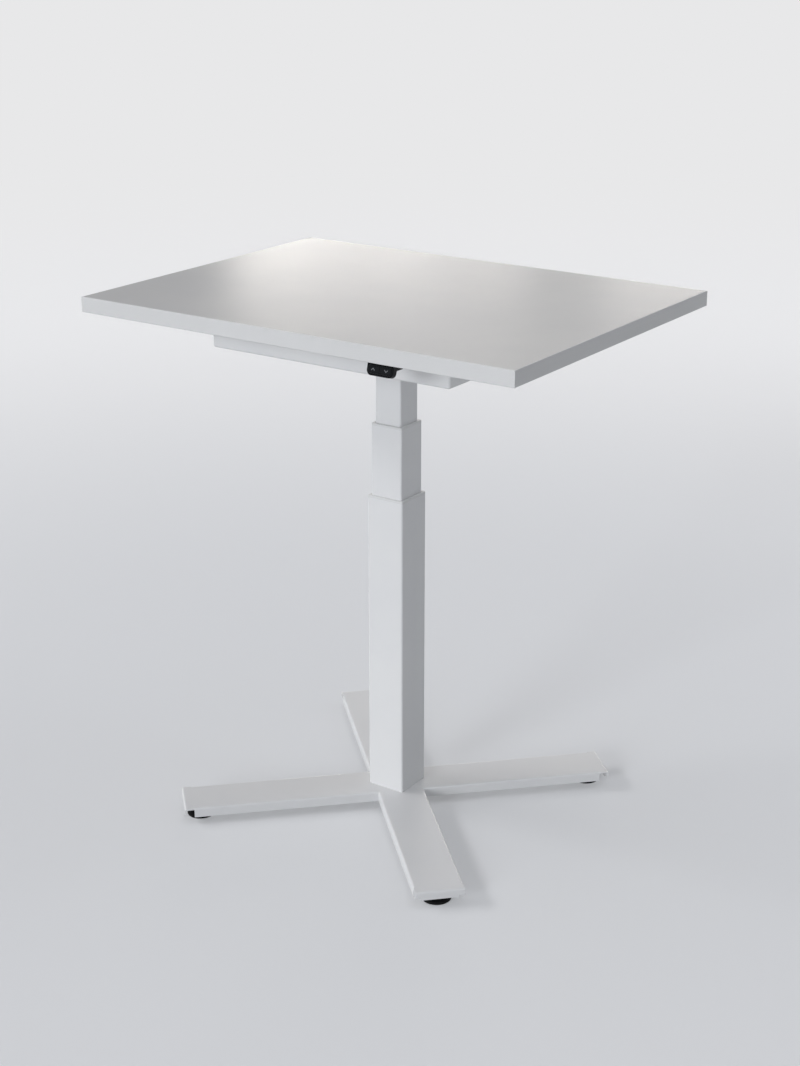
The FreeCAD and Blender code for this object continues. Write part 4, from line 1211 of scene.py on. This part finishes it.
@dataclass
class LevelGlides(SubAssembly):
    """Moulded pads on threaded studs under the leg tips."""

    reach: float = 345.0
    pad_radius: float = 24.0
    pad_height: float = 9.0
    hollow_radius: float = 6.0
    hollow_height: float = 0.8
    # Heights on the pad, the rim's counted from its own height, each with the inset from its radius.
    sole: Profile = ((0.8, 5.2), (0.0, 4.6), (0.0, 1.4), (0.4, 0.5), (1.2, 0.0))
    rim_height: float = 5.0
    rim: Profile = ((-0.8, 0.0), (-0.2, 0.3), (0.1, 1.0), (0.9, 4.0))
    shoulder: float = 15.0
    shoulder_rise: float = 2.2
    boss_width: float = 17.0
    boss_drops: Span = (1.4, 0.3)
    boss_face_ratio: float = 0.48
    stud_radius: float = 4.0
    stud_gap: float = 0.3
    stud_sunk: float = 1.0
    stud_top: float = 26.0
    stud_pitch: float = 1.25
    stud_groove: float = 0.6

    def build(self) -> None:
        """Make a pad and a stud for each leg."""
        low = self.pad_height - self.stud_sunk
        thread = Thread(self.stud_radius, self.stud_pitch, low, self.stud_top, self.stud_groove)
        for leg in Leg:
            place = moved(*leg.out(self.reach), 0.0)
            body = "glide_" + leg.label
            pad = Solid("glide_foot_" + leg.label)
            pad.turned(self._pad(), place, segments=72)
            self.shop.piece(pad, body, Surface.GLIDE_PLASTIC, "glide_pad_" + leg.label)
            stud = Solid("glide_thread_" + leg.label)
            stud.turned(thread.rings(), place, segments=32)
            self.shop.piece(stud, body, Surface.ZINC_FASTENER, "glide_stud_" + leg.label)

    def _pad(self) -> list[Ring]:
        """Rings of a pad, from its hollow sole to the hexagon boss round its stud.

        Returns:
            The rings, from low to high.
        """
        boss = hexagonal(self.boss_width)
        return [
            (self.hollow_height, self.hollow_radius),
            *((height, self.pad_radius - inset) for height, inset in self.sole),
            *((self.rim_height + rise, self.pad_radius - inset) for rise, inset in self.rim),
            (self.rim_height + self.shoulder_rise, self.shoulder),
            *((self.pad_height - drop, boss) for drop in self.boss_drops),
            (self.pad_height, within(boss, self.boss_face_ratio * self.boss_width)),
            (self.pad_height, self.stud_radius + self.stud_gap),
        ]

    def dress(self) -> None:
        """Give the nodes under the pads and studs the same finishes."""
        for leg in Leg:
            self.shop.dress(Surface.GLIDE_PLASTIC, "glide_pad_" + leg.label)
            self.shop.dress(Surface.ZINC_FASTENER, "glide_stud_" + leg.label)


class Key(Enum):
    """The two keys, with the way each one's arrow points."""

    UP = 1.0
    DOWN = -1.0

    @property
    def body(self) -> str:
        """The body that the key is."""
        return self.name.lower() + "_key"

    @property
    def node(self) -> str:
        """The key's node."""
        return self.name.lower() + "_button"


@dataclass
class Handset(SubAssembly):
    """Two-key handset under the front edge."""

    body: str = "top_stage"
    screw_x: tuple[float, float] = (161.4, 189.4)
    screw_y: float = -272.18
    screw_seat: float = 866.0
    screw: SocketScrew = SocketScrew(2.0, 3.6, 2.2, 2.5, 20.0)
    face_edge: float = -294.68
    face_top: float = 875.0
    face_tilt: float = 15.0
    key_proud: float = 0.8
    key_drop: float = 9.4
    key_x: tuple[float, float] = (164.2, 186.6)
    mark_width: float = 6.0
    mark_height: float = 4.4
    mark_stroke: float = 1.5
    mark_relief: float = 0.12
    mark_sunk: float = 0.02

    def build(self) -> None:
        """Make the screws and the printed arrows."""
        screws = Solid("handset_socket_screws")
        for x in self.screw_x:
            self.screw.add(screws, moved(x, self.screw_y, self.screw_seat))
        self.shop.piece(screws, self.body, Surface.ZINC_FASTENER, "handset_screws")
        for key, x in zip(Key, self.key_x):
            mark = Solid(key.body + "_arrow")
            mark.prism(self._arrow(key), self.mark_relief, self._key_place(x))
            self.shop.piece(mark, key.body, Surface.KEY_PRINT)

    def _key_place(self, x: float) -> Matrix:
        """Middle of a key's face.

        Args:
            x: Place of the key across the desk, in millimetres.

        Returns:
            The placing matrix, its axis pointing out of the key.
        """
        face = Matrix.Rotation(math.radians(90.0 - self.face_tilt), 4, "X")
        middle = moved(0.0, -self.key_drop, self.key_proud - self.mark_sunk)
        return moved(x, self.face_edge, self.face_top) @ face @ middle

    def _arrow(self, key: Key) -> list[tuple[float, float]]:
        """Outline of a key's chevron.

        Args:
            key: The key.

        Returns:
            The chevron's corners, anticlockwise as seen from the front.
        """
        half, rise, stroke = self.mark_width / 2, self.mark_height / 2, self.mark_stroke
        points = [
            (-half, -rise), (0.0, rise - stroke), (half, -rise),
            (half, stroke - rise), (0.0, rise), (-half, stroke - rise),
        ]
        points = [(x, key.value * y) for x, y in points]
        return points if key is Key.UP else points[::-1]

    def dress(self) -> None:
        """Give the housing and the keys their finishes."""
        self.shop.dress(Surface.HANDSET_PLASTIC, "handset_housing")
        self.shop.dress(Surface.BUTTON_PLASTIC, *(key.node for key in Key))


def heading(azimuth: float, elevation: float) -> Vector:
    """Direction as seen from the desk, by degrees from +X and degrees above the horizon."""
    a, e = math.radians(azimuth), math.radians(elevation)
    return Vector((math.cos(a) * math.cos(e), math.sin(a) * math.cos(e), math.sin(e)))


@dataclass(frozen=True)
class Lamp:
    """Lamp far away, by the direction that it stands in, in degrees."""

    name: str
    azimuth: float
    elevation: float
    spread: float
    strength: float
    colour: Rgb = (1.0, 1.0, 1.0)
    shadow: bool = True

    @classmethod
    def row(
        cls, name: str, ends: Span, count: int, elevation: float, spread: float, strength: float
    ) -> list["Lamp"]:
        """Lamps at even steps between two azimuths, which shine as one that is wide and low."""
        step = (ends[1] - ends[0]) / (count - 1)
        return [cls(f"{name}_{i + 1}", ends[0] + step * i, elevation, spread, strength) for i in range(count)]

    def build(self) -> None:
        """Make the lamp."""
        data = bpy.data.lights.new(self.name, "SUN")
        data.energy = self.strength
        data.color = self.colour
        data.angle = math.radians(self.spread)
        data.use_shadow = self.shadow
        lamp = bpy.data.objects.new(self.name, data)
        lamp.rotation_euler = heading(self.azimuth, self.elevation).to_track_quat("Z", "Y").to_euler()
        lamp.visible_glossy = False
        bpy.context.scene.collection.objects.link(lamp)


@dataclass(frozen=True)
class Softbox:
    """Flat light behind the desk, which the top or the legs reflect.

    It reaches from a start to an end round the desk and from low to high, all four in degrees.
    """

    name: str
    start: float
    end: float
    radiance: float
    low: float = 0.5
    high: float = 6.0
    distance: float = 30.0
    level: float = 0.9
    colour: Rgb = (1.0, 0.955, 0.895)

    def build(self) -> None:
        """Make the light, which the camera itself doesn't see."""
        data = bpy.data.lights.new(self.name, "AREA")
        data.shape = "RECTANGLE"
        bottom, top = (self.distance * math.tan(math.radians(angle)) for angle in (self.low, self.high))
        data.size = self.distance * math.radians(self.end - self.start)
        data.size_y = top - bottom
        data.energy = self.radiance * math.pi * data.size * data.size_y
        data.color = self.colour
        lamp = bpy.data.objects.new(self.name, data)
        direction = heading((self.start + self.end) / 2, 0.0)
        lamp.location = direction * self.distance + Vector((0.0, 0.0, self.level + (bottom + top) / 2))
        lamp.rotation_euler = direction.to_track_quat("Z", "Y").to_euler()
        lamp.visible_camera = False
        bpy.context.scene.collection.objects.link(lamp)


@dataclass
class Studio:
    """Floor, light and camera, in metres and degrees."""

    camera_place: Point = (1.59118, -2.31250, 1.52525)
    camera_turn: Point = (69.81, 0.0, 34.42)
    lens: float = 60.33
    sensor: float = 36.0
    sky: Rgb = (0.97, 0.965, 1.06)
    sky_strength: float = 0.08
    backdrop: Rgb = tint(232, 232, 233)
    floor_colour: Rgb = tint(205, 206, 208)
    floor_roughness: float = 0.6
    floor_reach: float = 9.0
    floor_glow: float = 0.188
    floor_glow_growth: float = 0.19
    floor_glow_colours: tuple[Rgb, Rgb] = ((0.985, 0.995, 1.015), (1.01, 0.995, 0.985))
    # Distances over which the glow and its colour change, and the floor runs out.
    floor_glow_range: Span = (0.6, 4.0)
    floor_glow_colour_range: Span = (0.8, 3.0)
    floor_fade: Span = (3.0, 7.0)
    # The flag goes from its dark level to its light one by the angle aside and by the height.
    flag_colour: Rgb = (0.97, 0.98, 1.03)
    flag_levels: Span = (0.18, 0.8)
    flag_distance: float = 34.0
    flag_middle: float = 118.0
    flag_dark: Span = (18.0, 56.0)
    flag_heights: Span = (8.0, 28.0)
    flag_steps: int = 40
    # The row on the left gives the column a soft shadow, and the legs one with a clear edge.
    lamps: tuple[Lamp, ...] = (
        Lamp("front_light", -91.0, 15.0, 20.0, 1.3, (0.97, 1.0, 1.03)),
        Lamp("front_fill", -91.0, 10.0, 20.0, 0.6, (0.97, 1.0, 1.03), shadow=False),
        *Lamp.row("left_light", (-171.0, -137.0), 5, 30.0, 10.0, 0.22),
        Lamp("left_fill", -158.0, 34.0, 60.0, 0.2),
        Lamp("right_fill", 35.0, 28.0, 50.0, 0.74, (0.95, 1.0, 1.04), shadow=False),
        Lamp("top_fill", 0.0, 90.0, 60.0, 0.37, (0.98, 0.98, 1.04), shadow=False),
        Lamp("back_fill", 100.0, 30.0, 60.0, 0.08),
    )
    # The strips stand side by side, so that no dark gap shows in the top.
    strips: tuple[Softbox, ...] = (
        Softbox("strip_a", 104.0, 110.0, 24.5),
        Softbox("strip_b", 110.0, 117.0, 17.0),
        Softbox("strip_c", 117.0, 120.0, 4.5),
        Softbox("strip_d", 120.0, 123.4, 13.6),
        Softbox("strip_e", 123.4, 127.6, 17.7),
        Softbox("strip_f", 127.6, 130.3, 22.5),
        Softbox("back_panel", 112.0, 123.5, 1.3, low=22.0, high=34.0, level=0.03),
    )

    def build(self) -> None:
        """Make the camera, the world, the floor and the lights."""
        self._camera()
        self._world()
        self._floor()
        self._flag()
        for light in (*self.lamps, *self.strips):
            light.build()

    def _camera(self) -> None:
        """Camera at the photograph's place."""
        data = bpy.data.cameras.new("camera")
        data.lens = self.lens
        data.sensor_width = self.sensor
        camera = bpy.data.objects.new("camera", data)
        camera.location = self.camera_place
        camera.rotation_euler = [math.radians(x) for x in self.camera_turn]
        bpy.context.scene.collection.objects.link(camera)
        bpy.context.scene.camera = camera

    @staticmethod
    def _seen(graph: Graph) -> bpy.types.NodeSocket:
        """Whether a ray goes to the eye directly, by a reflection or through glass.

        Args:
            graph: The graph that asks.

        Returns:
            1 for such rays and 0 for the others.
        """
        path = graph.node("ShaderNodeLightPath")
        direct = graph.math("MAXIMUM", path.outputs["Is Camera Ray"], path.outputs["Is Glossy Ray"])
        return graph.math("MAXIMUM", direct, path.outputs["Is Transmission Ray"])

    @staticmethod
    def _mixed(
        graph: Graph, share: bpy.types.NodeSocket, first: bpy.types.Node, second: bpy.types.Node
    ) -> bpy.types.Node:
        """Mix two shaders, by how much of the second one shows."""
        return graph.node("ShaderNodeMixShader", {0: share, 1: first.outputs[0], 2: second.outputs[0]})

    def _world(self) -> None:
        """Even sky light, and a pale backdrop for what is seen directly or in a reflection."""
        world = bpy.data.worlds.new("studio")
        graph = Graph.fresh(world)
        light = graph.node("ShaderNodeBackground", {"Color": self.sky, "Strength": self.sky_strength})
        backdrop = graph.node("ShaderNodeBackground", {"Color": self.backdrop, "Strength": 1.0})
        mix = self._mixed(graph, self._seen(graph), light, backdrop)
        graph.node("ShaderNodeOutputWorld", {"Surface": mix.outputs[0]})
        bpy.context.scene.world = world

    def _floor(self) -> None:
        """Pale floor that runs out into the backdrop and isn't seen from below."""
        bm = bmesh.new()
        bmesh.ops.create_grid(bm, x_segments=1, y_segments=1, size=self.floor_reach)
        material = bpy.data.materials.new("studio_floor")
        graph = Graph.fresh(material)
        away = graph.node("ShaderNodeVectorMath", {0: graph.place()}, operation="LENGTH").outputs["Value"]
        backdrop = graph.node("ShaderNodeEmission", {"Color": self.backdrop, "Strength": self._seen(graph)})
        shader = self._floor_shader(graph, away)
        upper = self._mixed(graph, graph.remap(away, self.floor_fade), shader, backdrop)
        behind = graph.node("ShaderNodeNewGeometry").outputs["Backfacing"]
        mix = self._mixed(graph, behind, upper, graph.node("ShaderNodeBsdfTransparent"))
        graph.node("ShaderNodeOutputMaterial", {"Surface": mix.outputs[0]})
        self._stage("floor", bm, material)

    def _floor_shader(self, graph: Graph, away: bpy.types.NodeSocket) -> bpy.types.Node:
        """Shader of the floor, with a faint glow that grows away from the desk.

        Args:
            graph: The graph of the floor's material.
            away: Distance from the desk.

        Returns:
            The shader node.
        """
        levels = (self.floor_glow, self.floor_glow + self.floor_glow_growth)
        glow = graph.math("MULTIPLY", graph.remap(away, self.floor_glow_range, levels), self._seen(graph))
        far = graph.remap(away, self.floor_glow_colour_range)
        return graph.node(
            "ShaderNodeBsdfPrincipled",
            {
                "Base Color": self.floor_colour,
                "Roughness": self.floor_roughness,
                "Specular IOR Level": 0.0,
                "Emission Color": graph.blend(far, *self.floor_glow_colours),
                "Emission Strength": glow,
            },
        )

    def _flag(self) -> None:
        """Curved panel behind the strip lights, dark in its middle, seen only in reflections."""
        bm = bmesh.new()
        reach = self.flag_dark[1]
        turns = [reach * (2 * i / self.flag_steps - 1) for i in range(self.flag_steps + 1)]
        feet = [heading(self.flag_middle + turn, 0.0) * self.flag_distance for turn in turns]
        top = Vector((0.0, 0.0, self.flag_heights[1]))
        columns = [(bm.verts.new(foot), bm.verts.new(foot + top)) for foot in feet]
        for (low, high), (next_low, next_high) in zip(columns, columns[1:]):
            bm.faces.new((low, next_low, next_high, high))
        flag = self._stage("grey_flag", bm, self._flag_material())
        flag.visible_camera = flag.visible_diffuse = flag.visible_shadow = flag.visible_transmission = False

    def _flag_material(self) -> bpy.types.Material:
        """Glow of the panel, by the angle from its middle and by the height.

        Returns:
            The material.
        """
        material = bpy.data.materials.new("studio_flag")
        graph = Graph.fresh(material)
        place = graph.node("ShaderNodeSeparateXYZ", {0: graph.place()}).outputs
        angle = graph.math("ARCTAN2", place["Y"], place["X"])
        turn = graph.math("SUBTRACT", angle, math.radians(self.flag_middle))
        dark = tuple(math.radians(x) for x in self.flag_dark)
        aside = graph.remap(graph.math("ABSOLUTE", turn), dark)
        above = graph.remap(place["Z"], self.flag_heights)
        level = graph.remap(graph.math("MAXIMUM", aside, above), (0.0, 1.0), self.flag_levels)
        grey = graph.node("ShaderNodeEmission", {"Color": self.flag_colour, "Strength": level})
        graph.node("ShaderNodeOutputMaterial", {"Surface": grey.outputs[0]})
        return material

    @staticmethod
    def _stage(name: str, bm: bmesh.types.BMesh, material: bpy.types.Material) -> bpy.types.Object:
        """Set up a thing round the desk that isn't part of it.

        Args:
            name: Its name.
            bm: Its shape, which is used up.
            material: Its material.

        Returns:
            The object.
        """
        mesh = bpy.data.meshes.new(name)
        bm.to_mesh(mesh)
        bm.free()
        mesh.materials.append(material)
        made = bpy.data.objects.new(name, mesh)
        bpy.context.scene.collection.objects.link(made)
        return made


ASSEMBLIES: tuple[type[SubAssembly], ...] = (
    SupportTray,
    DriveHead,
    ControlBox,
    LiftColumn,
    ScrewDrive,
    CrossBase,
    LevelGlides,
    Handset,
    WorkTop,
)


def main() -> None:
    """Build the studio, then each sub-assembly and its dressing."""
    logging.basicConfig(level=logging.INFO, format="%(name)s: %(message)s")
    bpy.context.scene.view_settings.view_transform = "Standard"
    Studio().build()
    shop = Shop(Effects())
    for kind in ASSEMBLIES:
        assembly = kind(shop)
        assembly.build()
        assembly.dress()


if __name__ == "__main__":
    main()
